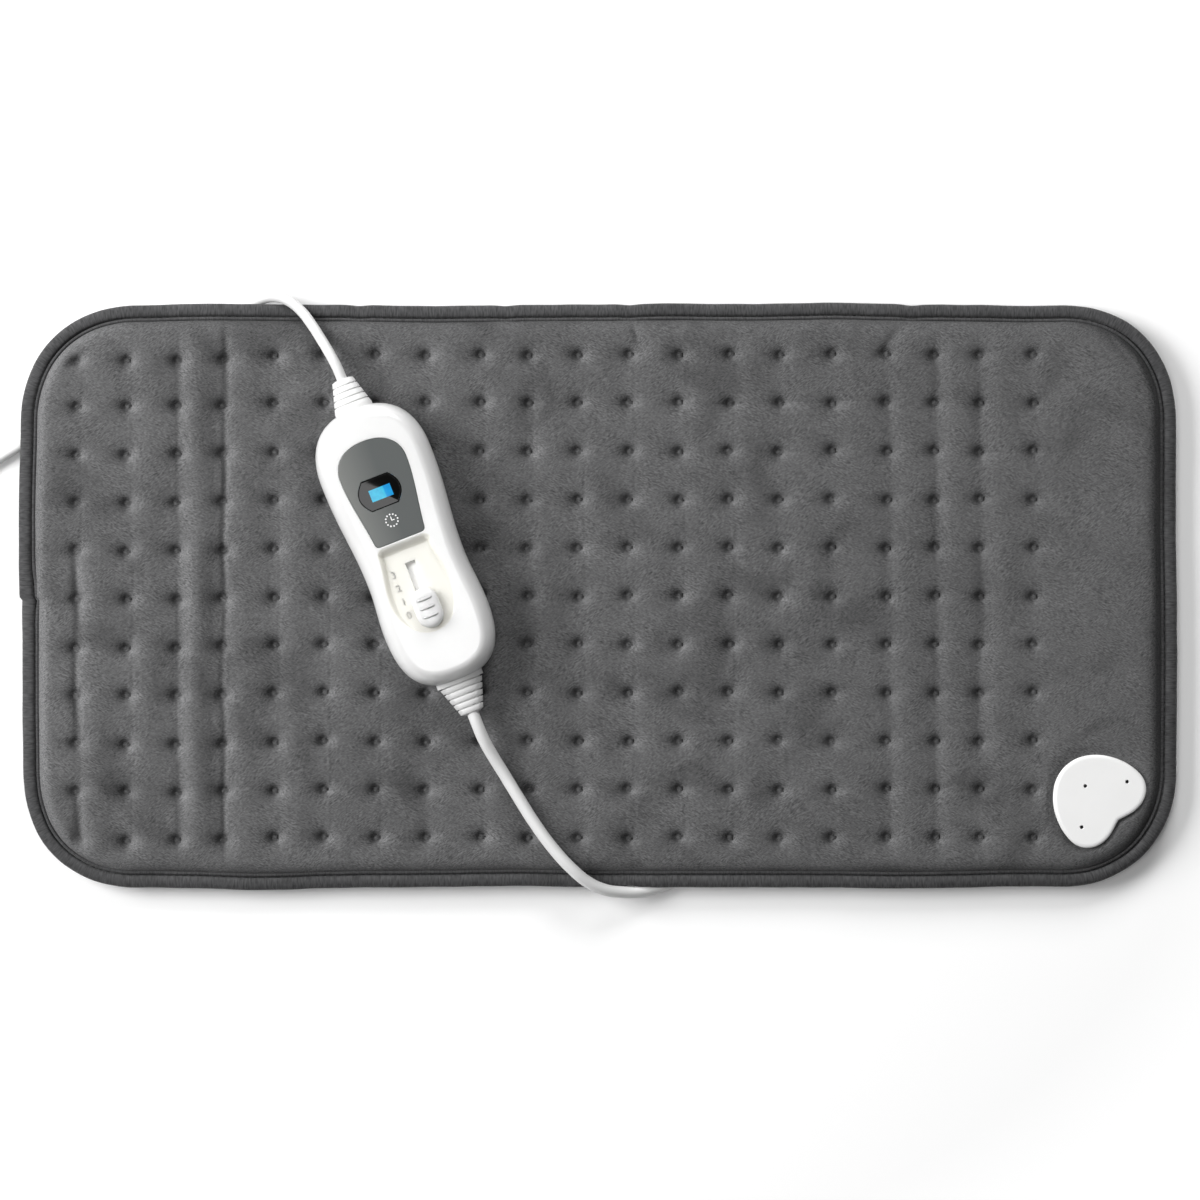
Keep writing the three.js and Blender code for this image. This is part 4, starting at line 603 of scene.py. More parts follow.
class Finish:
    """A material in the making: its shader, and the nodes that feed it."""

    def __init__(self, name, values):
        self.material = bpy.data.materials.new(name)
        self.material.use_nodes = True
        self.tree = self.material.node_tree
        self.on_shader(values)

    def on_shader(self, values):
        """Sets inputs of the shader, and hands the material back."""
        self.feed(self.tree.nodes["Principled BSDF"], values)
        return self.material

    def feed(self, node, values):
        """Sets inputs of a node: outputs of other nodes are linked, plain values are written there."""
        for name, value in values.items():
            if isinstance(value, bpy.types.NodeSocket):
                self.tree.links.new(value, node.inputs[name])
            else:
                node.inputs[name].default_value = value

    def node(self, kind, values, output, **settings):
        """One output of a new node."""
        node = self.tree.nodes.new("ShaderNode" + kind)
        for name, setting in settings.items():
            setattr(node, name, setting)
        self.feed(node, values)
        return node.outputs[output]

    def place(self, at=(0, 0, 0), turn=0.0, stretch=(1, 1, 1)):
        """Coordinates of the object, in a frame that is moved, turned and stretched."""
        values = {"Vector": self.node("TexCoord", {}, "Object"), "Location": at, "Rotation": (0, 0, turn),
                  "Scale": stretch}
        return self.node("Mapping", values, "Vector", vector_type="TEXTURE")

    def across_case(self):
        """How far right of the case's middle line a point lies, in metres."""
        place = self.place(at=[c * MM for c in CASE_AT], turn=CASE_TURN)
        return self.node("SeparateXYZ", {"Vector": place}, "X")

    def noise(self, scale, detail=3.0, stretch=(1, 1, 1), turn=0.0, swirl=0.0):
        """Noise in metres of the object, with a scale per metre."""
        place = self.place(turn=turn, stretch=stretch)
        values = {"Vector": place, "Scale": scale, "Detail": detail, "Distortion": swirl}
        return self.node("TexNoise", values, "Fac")

    def tones(self, source, dark, light, low=0.3, high=0.7):
        """A colour between two tones, by a value."""
        ramp = self.tree.nodes.new("ShaderNodeValToRGB")
        for element, position, tone in zip(ramp.color_ramp.elements, (low, high), (dark, light)):
            element.position = position
            element.color = (*tone, 1)
        self.feed(ramp, {"Fac": source})
        return ramp.outputs["Color"]

    def bump(self, source, strength, depth, **base):
        """A normal that follows a height, on top of another normal if one is given."""
        values = {"Strength": strength, "Distance": depth * MM, "Height": source, **base}
        return self.node("Bump", values, "Normal")

    def multiplied(self, first, second):
        """The product of two colours or values."""
        values = {"Factor": 1.0, "A": first, "B": second}
        return self.node("Mix", values, "Result", data_type="RGBA", blend_type="MULTIPLY")

    def between(self, source, low, high, to_low, to_high):
        """A value moved from one range to another, and held at its ends."""
        values = {"Value": source, "From Min": low, "From Max": high, "To Min": to_low, "To Max": to_high}
        return self.node("MapRange", values, "Result")

    def maths(self, operation, first, second):
        """What an operation makes of two values, such as the lesser one or their product."""
        return self.node("Math", {0: first, 1: second}, "Value", operation=operation)


def moulded(name, colour, roughness, metallic=0.0, grain=900.0, relief=0.03, shade=0.04, coat=0.0,
            through=0.0, gloss=0.5):
    """A moulded, turned or rolled surface with a faint grain and a slight change of tone."""
    finish = Finish(name, {
        "Roughness": roughness, "Metallic": metallic, "Specular IOR Level": gloss,
        "Coat Weight": coat, "Coat Roughness": 0.08,
        "Subsurface Weight": through, "Subsurface Radius": (1.0, 1.0, 1.0), "Subsurface Scale": 6 * MM,
    })
    dark = tuple(c * (1 - shade) for c in colour)
    light = tuple(min(1.0, c * (1 + shade)) for c in colour)
    return finish.on_shader({
        "Base Color": finish.tones(finish.noise(60.0), dark, light),
        "Normal": finish.bump(finish.noise(grain, detail=2.0), 0.4, relief),
    })


def plush_material():
    """Short pile: fine fibres in swirls, brushed patches and a soft sheen, with painted shade and highlight:
    slopes that face the light are lighter, those facing away darker, and the highlight is held lower towards
    the right.
    """
    finish = Finish("plush_grey", {
        "Roughness": 0.9, "Specular IOR Level": 0.15,
        "Sheen Weight": 0.1, "Sheen Roughness": 0.45, "Sheen Tint": (0.8, 0.8, 0.82, 1),
    })
    strokes, crossing = (finish.noise(1900.0, detail=1.0, stretch=(3.2, 1, 1), turn=turn, swirl=0.4)
                         for turn in (0.6, -0.4))
    areas = finish.between(finish.noise(50.0, detail=2.0), 0.42, 0.58, 0.0, 1.0)
    pile = finish.node("Mix", {"Factor": areas, "A": strokes, "B": crossing}, "Result")
    fibre_tone = finish.tones(pile, (0.05, 0.05, 0.051), (0.158, 0.158, 0.16), 0.25, 0.75)
    brush_tone = finish.tones(finish.noise(34.0, detail=4.0), (0.9, 0.9, 0.9), (1.08, 1.08, 1.08))
    ruffled = finish.between(finish.noise(26.0, detail=5.0, swirl=0.5), 0.54, 0.66, 1.0, 0.76)
    # Painted shade and highlight: slopes that face the light are painted lighter, those that face away
    # darker.
    normal = finish.node("NewGeometry", {}, "Normal")
    lean = finish.node("VectorMath", {0: normal, 1: PAINTED_LIGHT_WAY}, "Value", operation="DOT_PRODUCT")
    painted_slope_light = finish.between(lean, -0.6, 0.4, 0.4, 1.45)
    # the painted highlight is held lower towards the right, where less light falls
    right = finish.node("SeparateXYZ", {"Vector": finish.node("TexCoord", {}, "Object")}, "X")
    held = finish.maths("MINIMUM", painted_slope_light, finish.between(right, -0.27, 0.25, 1.5, 1.06))
    colour = finish.multiplied(finish.multiplied(fibre_tone, brush_tone), ruffled)
    soft = finish.bump(finish.noise(260.0), 0.14, 0.5)
    return finish.on_shader({
        "Base Color": finish.multiplied(colour, held),
        "Normal": finish.bump(pile, 0.45, 0.5, Normal=soft),
    })


def hem_material():
    """Woven binding with ribs across the edge."""
    finish = Finish("hem_weave", {"Roughness": 0.85, "Specular IOR Level": 0.2, "Sheen Weight": 0.1})
    along, across = (finish.node("Attribute", {}, "Fac", attribute_name=name) for name in ("along", "across"))
    place = finish.node("CombineXYZ", {"X": along, "Y": across}, "Vector")
    ribs = finish.node("Mapping", {"Vector": place, "Scale": (1, 0.22, 1)}, "Vector")
    weave = finish.node("TexNoise", {"Vector": ribs, "Scale": 1.25, "Detail": 2.0}, "Fac")
    tone = finish.tones(weave, (0.039, 0.039, 0.04), (0.079, 0.079, 0.081), 0.34, 0.66)
    patches = finish.tones(finish.noise(40.0), (0.86, 0.86, 0.86), (1.12, 1.12, 1.12))
    return finish.on_shader({
        "Base Color": finish.multiplied(tone, patches),
        "Normal": finish.bump(weave, 0.5, 0.5),
    })


def fascia_material():
    """Satin grey panel with a painted sheen: lighter and warmer towards its left side, where the light falls.
    """
    finish = Finish("fascia_satin", {"Roughness": 0.38})
    # painted sheen: light at the left side, darker from about its middle on
    across = finish.between(finish.across_case(), -20 * MM, 20 * MM, 0.0, 1.0)
    return finish.on_shader({
        "Base Color": finish.tones(across, (0.16, 0.166, 0.158), (0.068, 0.075, 0.074), 0.0, 0.52),
        "Normal": finish.bump(finish.noise(2500.0, detail=2.0), 0.25, 0.02),
    })


def display_material():
    """Lit display: a cyan field and a deeper blue one, with a fine uneven glow, under gloss."""
    finish = Finish("display_lit", {
        "Roughness": 0.1, "Specular IOR Level": 0.2,
        "Base Color": (0.004, 0.02, 0.05, 1), "Emission Strength": 1.0,
    })
    step = DISPLAY_AT[0] + DISPLAY_STEP * DISPLAY_SIZE[0]
    ends = ((step - DISPLAY_BLEND) * MM, (step + DISPLAY_BLEND) * MM)
    fields = finish.between(finish.across_case(), *ends, 0.0, 1.0)
    tone = finish.tones(fields, (0.035, 0.5, 0.72), (0.01, 0.31, 0.68), 0.0, 1.0)
    glow = finish.tones(finish.noise(420.0), (0.85, 0.85, 0.9), (1.1, 1.1, 1.05))
    return finish.on_shader({"Emission Color": finish.multiplied(tone, glow)})


def floor_material():
    """White paper that keeps the shadow; seen directly it is lifted to white away from the pad."""
    finish = Finish("floor_white", {
        "Base Color": (0.96, 0.96, 0.96, 1), "Roughness": 0.9, "Emission Color": (1, 1, 1, 1),
    })
    seen, mirrored = (finish.node("LightPath", {}, ray) for ray in ("Is Camera Ray", "Is Glossy Ray"))
    direct = finish.maths("MAXIMUM", seen, mirrored)
    position = finish.node("NewGeometry", {}, "Position")
    away = finish.node("VectorMath", {0: position}, "Value", operation="LENGTH")
    (near, faint), (far, bright) = FLOOR_GLOW
    glow = finish.between(away, near, far, faint, bright)
    return finish.on_shader({"Emission Strength": finish.maths("MULTIPLY", direct, glow)})


# Cords

def coil_points():
    """The mains lead's coil: in on the lower layer, up in the middle and out above."""
    middle = COIL_TURNS / 2
    points = []
    count = round(COIL_TURNS * COIL_STEPS)
    for i in range(count + 1):
        turn = COIL_TURNS * i / count
        radius = COIL_INNER + COIL_PITCH * abs(turn - middle)
        angle = COIL_START - 2 * math.pi * turn
        climbed = eased((turn - middle + COIL_CLIMB) / (2 * COIL_CLIMB))
        points.append((COIL_AT[0] + radius * math.cos(angle), COIL_AT[1] + radius * math.sin(angle),
                       COIL_LOW + COIL_PITCH * climbed))
    return points


def mains_line():
    """Points of the mains lead, from the controller to the plug."""
    start = on_case([(0, HEAD_END + MAINS_BOOT["length"] - CORD_IN_BOOT, CASE_PARTING)])[0]
    end = (PLUG_AT[0], PLUG_AT[1] + PLUG_BOOT["length"] - CORD_IN_PLUG_BOOT, PLUG_AT[2])
    before_end = (PLUG_AT[0], end[1] + CORD_STRAIGHT, PLUG_AT[2])
    return [tuple(start), *MAINS_ROUTE, *coil_points(), *PLUG_TAIL_ROUTE, before_end, end]


def gland_point(along):
    """A point on the gland's axis, from its tip towards the terminal housing."""
    x, y, z = GLAND_TIP
    return (x + along * math.cos(GLAND_TURN), y + along * math.sin(GLAND_TURN), z)


def pad_lead_line():
    """Points of the pad's lead, from the controller to the gland."""
    start = on_case([(0, TAIL_END - PAD_BOOT["length"] + CORD_IN_BOOT, CASE_PARTING)])[0]
    return [tuple(start), *PAD_LEAD_ROUTE, gland_point(-GLAND_STRAIGHT), gland_point(GLAND_INWARD)]


def make_cord(name, line, diameter, finish):
    """A round cord along a line of points."""
    curve = bpy.data.curves.new(name, "CURVE")
    curve.dimensions = "3D"
    curve.resolution_u = 6
    curve.bevel_depth = diameter / 2 * MM
    curve.bevel_resolution = 5
    curve.use_fill_caps = True
    spline = curve.splines.new("BEZIER")
    spline.bezier_points.add(len(line) - 1)
    for point, place in zip(spline.bezier_points, line):
        point.co = Vector(place) * MM
        point.handle_left_type = "AUTO"
        point.handle_right_type = "AUTO"
    curve.materials.append(finish)
    cord = placed(name, curve)
    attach(cord, "root")
    return cord


def tie_span():
    """Radii of the innermost and outermost turns where the strap holds them."""
    first = (COIL_START - TIE_ANGLE) / (2 * math.pi) % 1
    radii = COIL_INNER + COIL_PITCH * np.abs(np.arange(first, COIL_TURNS) - COIL_TURNS / 2)
    return radii.min(), radii.max()


def tie_path():
    """Points of the strap's middle line round the coil, with their outward ways, in its own plane."""
    low, high = tie_span()
    corner = MAINS_DIAMETER / 2 + TIE_SLACK + TIE_THICKNESS / 2
    across, up = (high - low) / 2, COIL_PITCH / 2
    path = [((u, up + corner), (0, 1)) for u in np.linspace(TIE_START, across, 12)]
    for cx, cy, first in ((across, up, 90), (across, -up, 0), (-across, -up, -90), (-across, up, -180)):
        for angle in np.radians(np.linspace(first, first - 90, 10)):
            way = (math.cos(angle), math.sin(angle))
            path.append(((cx + corner * way[0], cy + corner * way[1]), way))
    for u in np.linspace(-across, TIE_END, 24)[1:]:
        lift = TIE_THICKNESS * TIE_LIFT * eased((u + across) / (TIE_START + across - 1))
        path.append(((u, up + corner + lift), (0, 1)))
    return path


def make_tie(finish):
    """A soft strap round the coil, its end lapped over its start."""
    edge = TIE_THICKNESS / 2
    half = TIE_WIDTH / 2 - edge
    section = []
    for side, first in ((half, -90), (-half, 90)):
        for angle in np.radians(np.linspace(first, first + 180, 7)):
            section.append((side + edge * math.cos(angle), edge * math.sin(angle)))
    middle = sum(tie_span()) / 2
    out = np.array([math.cos(TIE_ANGLE), math.sin(TIE_ANGLE), 0])
    along = np.array([-math.sin(TIE_ANGLE), math.cos(TIE_ANGLE), 0])
    centre = np.array([*COIL_AT, COIL_LOW + COIL_PITCH / 2]) + middle * out
    rings = []
    for (u, v), (nu, nv) in tie_path():
        rings.append([centre + (u + h * nu) * out + (v + h * nv) * UP + w * along for w, h in section])
    form = Form()
    form.rings(rings, cap_first=True, cap_last=True)
    return make_piece("coil_strap", form, finish, stands_for=("coil_tie",))


# Pad

def pad_inset(x, y):
    """How far in from the pad's outline a point lies."""
    qx = np.abs(x) - (PAD_LENGTH / 2 - PAD_CORNER)
    qy = np.abs(y) - (PAD_WIDTH / 2 - PAD_CORNER)
    outside = np.hypot(np.maximum(qx, 0), np.maximum(qy, 0))
    return PAD_CORNER - outside - np.minimum(np.maximum(qx, qy), 0)


def tuft_lines(axis):
    """Places of the tufts' columns or rows; some columns are sewn a little off their place."""
    lines = TUFT_FIRST[axis] + TUFT_PITCH[axis] * np.arange(TUFT_COUNT[axis])
    if axis == 0:
        lines += [TUFT_DRIFT.get(i, 0.0) for i in range(TUFT_COUNT[0])]
    return lines


def grid_lines(axis, half):
    """Lines close together at the tufts and at the rim, and wider apart elsewhere."""
    places = tuft_lines(axis)
    reach = TUFT_PITCH[axis] / 2
    lines = [places[0] - TUFT_NEAR * reach, places[-1] + TUFT_NEAR * reach,
             np.arange(places[0] - reach, -half, -GRID_STEP), np.arange(places[-1] + reach, half, GRID_STEP)]
    for a, b in zip(places[:-1], places[1:]):
        gap = (b - a) / 2
        lines += [a + TUFT_NEAR * gap, [a + gap], b - TUFT_NEAR * gap]
    lines = np.concatenate(lines)
    lines = lines[np.abs(lines) < half - RIM_LINES[-1] - 0.9]
    return np.unique(np.round(np.concatenate([lines, -half + RIM_LINES, half - RIM_LINES]), 4))


def rounded(x, y, half_x, half_y, radius):
    """Moves the corners of a rectangular grid onto rounded corners, and leaves its middle alone."""
    cx, cy = half_x - radius, half_y - radius
    u = np.maximum(np.abs(x) - cx, 0) / radius
    v = np.maximum(np.abs(y) - cy, 0) / radius
    m = np.maximum(np.maximum(u, v), 1e-9)
    wide = u >= v
    angle = np.where(wide, np.pi / 4 * v / m, np.pi / 2 - np.pi / 4 * u / m)
    w = eased((m - 0.4) / 0.6)
    du = u * (1 - w) + m * np.cos(angle) * w
    dv = v * (1 - w) + m * np.sin(angle) * w
    corner = (u > 0) & (v > 0)
    new_x = np.where(corner, np.sign(x) * (cx + radius * du), x)
    new_y = np.where(corner, np.sign(y) * (cy + radius * dv), y)
    return new_x, new_y


def waves(x, y, seed, lengths):
    """A smooth irregular field between about -1 and 1."""
    random = np.random.default_rng(seed)
    total = np.zeros_like(x)
    count = 5
    for _ in range(count):
        angle = random.uniform(0, 2 * math.pi)
        length = random.uniform(*lengths)
        phase = random.uniform(0, 2 * math.pi)
        total += np.sin(2 * math.pi * (x * math.cos(angle) + y * math.sin(angle)) / length + phase)
    return total / count * 1.6


def tuft_places():
    """Place of each tuft and how deep its hollow is; that fades towards the right."""
    random = np.random.default_rng(11)
    places = []
    for x in tuft_lines(0):
        for y in tuft_lines(1):
            pull = random.uniform(*TUFT_PULL) * (PULL_AT_LEFT - PULL_FADE * (x / PAD_LENGTH + 0.5))
            pull *= PULL_AT_TURNS if x < TURNS_X else 1.0
            low = ROW_SAG * np.clip((SAG_FROM - x) / SAG_OVER, 0, 1) * (TOP_ROW_SAG if y > TOP_ROW_Y else 1.0)
            spot = (x + TUFT_OFF + random.uniform(-TUFT_STRAY, TUFT_STRAY),
                    y - low + random.uniform(-TUFT_STRAY, TUFT_STRAY))
            places.append((*spot, pull))
    return places


def quilting(x, y):
    """How far the stitching draws the cover in at each point."""
    drawn = np.zeros_like(x)
    for tx, ty, pull in tuft_places():
        near = (np.abs(x - tx) < TUFT_END) & (np.abs(y - ty) < TUFT_END)
        dx, dy = x[near] - tx, y[near] - ty
        r = np.hypot(dx, dy)
        out = np.maximum(np.hypot(dx / TUFT_OVAL[0], dy / TUFT_OVAL[1]) - TUFT_DISC, 0)
        across = dx / np.maximum(r, 0.1)
        pinch = TUFT_STEEP[0] * np.exp(-out / TUFT_STEEP[1])
        hollow = TUFT_BROAD[0] * pull * np.exp(-out / (TUFT_BROAD[1] * (1 - TUFT_LEAN * across)))
        ring = TUFT_RING * (1 + RING_LEAN * across) * np.exp(-((r - TUFT_DISC - RING_OUT) / RING_WIDE) ** 2)
        drawn[near] += pinch + hollow + ring
    ripple = 0.65 + 0.35 * waves(x, y, 3, (30, 70))
    for column, (line, width, ridge, low, high) in CREASED_COLUMNS.items():
        off = x - tuft_lines(0)[column] - 1.1 * waves(x * 0, y, 40 + column, (50, 110))
        run = np.clip((y - low) / FOLD_FADE, 0, 1) * np.clip((high - y) / FOLD_FADE, 0, 1) * ripple
        drawn += run * line * np.exp(-(off / width) ** 2)
        drawn -= run * ridge * np.exp(-((off - RIDGE_AT) / RIDGE_WIDE) ** 2)
    for start, end, depth in CREASES:
        off, share = distance_to_line(np.column_stack([x, y]), [start, end])
        drawn += depth * (1 - 0.7 * share) * np.exp(-off / CREASE_REACH)
    drawn += 0.35 * (1 + waves(x, y, 5, (45, 120)))
    drawn += 0.1 * (1 + waves(x, y, 6, (14, 30)))
    return np.minimum(drawn, np.where(x < TURNS_X, DEEPEST_AT_TURNS, DEEPEST))


def heart_outline(inset, steps=24):
    """The plate: x along its axis towards the notch, y across it."""
    apex, half = PLATE_APEX + inset, PLATE_HALF - inset
    lobe, notch = PLATE_LOBE - inset, PLATE_NOTCH - inset
    return even_outline((apex, 0), [
        ((apex, -0.58 * half), (-9.5, -half), (4, -half)),
        ((12, -half), (lobe, -0.76 * half), (lobe, -0.46 * half)),
        ((lobe, -0.26 * half), (notch + 0.4, -0.1 * half), (notch, 0)),
    ], (1, -1), steps)


def plate_distance(x, y, inset):
    """Which points lie near the plate, and how far each of these lies outside its outline, drawn in."""
    outline = on_plate(at_height(heart_outline(inset), 0))[:, :2]
    near = np.hypot(x - PLATE_AT[0], y - PLATE_AT[1]) < PLATE_NEAR
    flat = np.column_stack([x, y])[near]
    distance, _ = distance_to_line(flat, outline, closed=True)
    distance[inside(outline, flat)] *= -1
    return near, distance


def sunk_under_plate(x, y, z):
    """The plate presses the pile down."""
    near, distance = plate_distance(x, y, 0.0)
    lift = np.clip((distance - PILE_GAP) / PILE_SLOPE, 0, 1) ** 0.6
    ceiling = PLATE_BED - 0.15 + (CREST + 0.2 - PLATE_BED) * lift
    z[near] = np.minimum(z[near], ceiling)
    return z


def edge_shift(x, y):
    """How far in from its outline the pad's edge lies."""
    shift = np.zeros_like(x)
    for px, py, inward in EDGE_WANDER:
        shift += inward * np.exp(-((x - px) ** 2 + (y - py) ** 2) / WANDER_REACH ** 2)
    lower = np.clip((HEM_JOIN_Y - y) / 1.5, 0, 1) * np.clip((y - HEM_STEP_LOW) / HEM_STEP_FADE, 0, 1)
    return shift + HEM_STEP * lower * np.clip((HEM_STEP_X - x) / HEM_STEP_FADE, 0, 1)


def drawn_to_edge(x, y):
    """Moves the cover's rim in or out with the edge."""
    tiny = 0.01
    slope_x = (pad_inset(x + tiny, y) - pad_inset(x - tiny, y)) / (2 * tiny)
    slope_y = (pad_inset(x, y + tiny) - pad_inset(x, y - tiny)) / (2 * tiny)
    move = edge_shift(x, y) * np.exp(-(pad_inset(x, y) - RIM_INSET) / EDGE_FADE)
    return x + slope_x * move, y + slope_y * move


def rim_distance(x, y):
    """How far in from the cover's rim a point lies."""
    return np.maximum(pad_inset(x, y) - edge_shift(x, y), RIM_INSET) - RIM_INSET


def cover_top(x, y):
    """Height of the quilted upper side."""
    inset = rim_distance(x, y)
    crown = RIM_TOP + (CREST - RIM_TOP) * (1 - np.exp(-inset / CROWN_REACH))
    z = np.minimum(crown, CREST) - quilting(x, y) * np.clip(inset / RIM_FADE, 0, 1)
    return sunk_under_plate(x, y, z)


def cover_bottom(x, y, lines):
    """The underside: flat on the surface below, drawn up at the tufts and over the cords."""
    inset = rim_distance(x, y)
    z = RIM_BOTTOM * np.exp(-inset / UNDER_REACH)
    fade = np.clip(inset / RIM_FADE, 0, 1)
    for tx, ty, pull in tuft_places():
        near = (np.abs(x - tx) < UNDER_TUFT_END) & (np.abs(y - ty) < UNDER_TUFT_END)
        r = np.hypot(x[near] - tx, y[near] - ty)
        pinch = UNDER_PINCH[0] / (1 + (r / UNDER_PINCH[1]) ** 4)
        dent = UNDER_BROAD[0] * np.exp(-r / UNDER_BROAD[1])
        z[near] += fade[near] * pull * (pinch + dent)
    for line, radius in lines:
        line = np.asarray(line)
        distance, where = distance_to_line(np.column_stack([x, y]), line[:, :2])
        height = np.interp(where * (len(line) - 1), np.arange(len(line)), line[:, 2])
        room = radius + CORD_ROOM
        arch = np.minimum(height + np.sqrt(np.maximum(room ** 2 - distance ** 2, 0)), RIM_TOP - 0.5)
        covered = (distance < room) & (height < 5)
        z[covered] = np.maximum(z[covered], arch[covered])
    near, distance = plate_distance(x, y, HOUSING_INSET)
    z[near] = np.maximum(z[near], HOUSING_ROOM * np.clip((HOUSING_OUT - distance) / HOUSING_SLOPE, 0, 1))
    return np.maximum(z, UNDER_LEVEL)


def make_pad(finish, lines):
    """One closed cover: quilted above, flatter below, joined at the rim inside the hem."""
    half_x, half_y = PAD_LENGTH / 2 - RIM_INSET, PAD_WIDTH / 2 - RIM_INSET
    xs, ys = grid_lines(0, half_x), grid_lines(1, half_y)
    gx, gy = np.meshgrid(xs, ys)
    x, y = drawn_to_edge(*rounded(gx.ravel(), gy.ravel(), half_x, half_y, PAD_CORNER - RIM_INSET))
    gland = [gland_point(0), gland_point(GLAND_LENGTH)]
    top = np.column_stack([x, y, cover_top(x, y)])
    low = np.column_stack([x, y, cover_bottom(x, y, [*lines, (gland, GLAND_RADIUS)])])
    index, quads = grid_quads(len(ys), len(xs))
    rim = np.concatenate([index[0, :-1], index[:-1, -1], index[-1, :0:-1], index[:0:-1, 0]])
    below = rim + index.size
    skirt = np.column_stack([rim, below, np.roll(below, 1), np.roll(rim, 1)])
    form = Form()
    form.add(np.concatenate([top, low]), np.concatenate([quads, quads[:, ::-1] + index.size, skirt]).tolist())
    covers = ("pad_top_cover", "pad_bottom_cover")
    pad = make_piece("pad_cover", form, finish, stands_for=covers)


def pad_outline(spacing):
    """Points round the pad's outline, with the inward direction at each."""
    points, inward = [], []
    straight_x, straight_y = PAD_LENGTH - 2 * PAD_CORNER, PAD_WIDTH - 2 * PAD_CORNER
    steps = round(PAD_CORNER * math.pi / 2 / spacing)
    for k, (sx, sy) in enumerate(((1, 1), (-1, 1), (-1, -1), (1, -1))):
        centre = np.array([sx * straight_x / 2, sy * straight_y / 2])
        for i in range(steps + 1):
            angle = (k + i / steps) * math.pi / 2
            out = np.array([math.cos(angle), math.sin(angle)])
            points.append(centre + PAD_CORNER * out)
            inward.append(-out)
        length = straight_x if k % 2 == 0 else straight_y
        count = round(length / spacing)
        along = np.array([-out[1], out[0]])
        for _ in range(1, count):
            points.append(points[-1] + along * (length / count))
            inward.append(-out)
    return np.array(points), np.array(inward)


def hem_shift(points):
    """How far the hem wanders in and up, round the pad."""
    x, y = points[:, 0], points[:, 1]
    sway = 0.16 * waves(x, y, 22, (14, 34))
    rise = 0.25 * waves(x, y, 23, (50, 120)) + 0.12 * waves(x, y, 24, (12, 26))
    for px, py in HEM_PUCKERS:
        near = np.exp(-(np.hypot(x - px, y - py) / 4.5) ** 2)
        sway += 0.9 * near
        rise -= 0.5 * near
    return sway, rise


def clear_of_cords(points, lines, margin):
    """Pushes points off the cords."""
    for line, radius in lines:
        line = np.asarray(line, float)
        box = (points > line.min(axis=0) - 12).all(axis=1) & (points < line.max(axis=0) + 12).all(axis=1)
        chosen = np.where(box)[0]
        for a, b in zip(line[:-1], line[1:]):
            way = b - a
            near = points[chosen]
            share = np.clip(((near - a) @ way) / (way @ way), 0, 1)
            foot = a + share[:, None] * way
            off = near - foot
            distance = np.linalg.norm(off, axis=1)
            push = distance < radius + margin
            scale = (radius + margin) / np.maximum(distance[push], 1e-6)
            points[chosen[push]] = foot[push] + off[push] * scale[:, None]
    return points


def make_hem(finish, thread, lines):
    """The bound edge, with a lap and a kink where its ends meet at the left, and its stitching."""
    points, inward = pad_outline(HEM_SPACING)
    sway, rise = hem_shift(points)
    shift = edge_shift(points[:, 0], points[:, 1])
    at_left = points[:, 0] < -PAD_LENGTH / 2 + 5
    above = points[:, 1] - HEM_JOIN_Y
    lap = np.where(at_left & (above > 0), np.clip(1 - above / HEM_LAP, 0, 1), 0)
    kink = np.where(at_left, HEM_KINK * np.exp(-((above - HEM_KINK_AT) / HEM_KINK_REACH) ** 2), 0)
    rings = []
    for inset, z in HEM_SECTION:
        depth = inset / HEM_DEPTH
        d = inset * HEM_SPREAD + shift + sway * (SWAY_OUTSIDE - SWAY_LOSS * depth) + kink * depth ** 2
        height = z + rise * (0.4 if z < 7 else 1.0) + lap * (LAP_LIFT if z > 8 else -0.3)
        rings.append(np.column_stack([points + inward * d[:, None], height]))
    section = clear_of_cords(np.concatenate(rings), lines, HEM_CLEARANCE).reshape(len(rings), -1, 3)
    form = Form()
    form.rings(list(section.transpose(1, 0, 2)), closed=True)
    traits = {"along": np.repeat(run_lengths(points), len(HEM_SECTION)),
              "across": np.tile(run_lengths(HEM_SECTION), len(points))}
    make_piece("edge_hem", form, finish, stands_for=("edge_binding",), traits=traits)
    d = STITCH_INSET * HEM_SPREAD + shift + sway + kink * (STITCH_INSET / HEM_DEPTH) ** 2
    seam = np.column_stack([points + inward * d[:, None], STITCH_LEVEL + rise + lap * LAP_LIFT])
    make_stitches(seam, thread)


def make_stitches(line, finish):
    """Thread that lies in the hem's groove, one short loop after another."""
    closed = np.concatenate([line, line[:1]])
    reach = run_lengths(closed)

    def at(run):
        """Place at a run along the line."""
        return np.array([np.interp(run, reach, closed[:, i]) for i in range(3)])

    form = Form()
    for k in range(int(reach[-1] // STITCH_PITCH)):
        rings = []
        for t in np.linspace(0, 1, 6):
            run = k * STITCH_PITCH + t * STITCH_LENGTH
            along = at(run + 0.2) - at(run)
            along /= max(np.linalg.norm(along), 1e-9)
            side = np.array([-along[1], along[0], 0])
            bow = math.sin(math.pi * t)
            radius = THREAD_TIP + THREAD_SWELL * bow ** 0.5
            centre = at(run) + UP * (STITCH_BOW * bow - STITCH_SINK)
            rings.append([centre + radius * (side * math.cos(a) + UP * math.sin(a))
                          for a in np.linspace(0, 2 * math.pi, 6, endpoint=False)])
        form.rings(rings, cap_first=True, cap_last=True)
    make_piece("hem_stitches", form, finish)


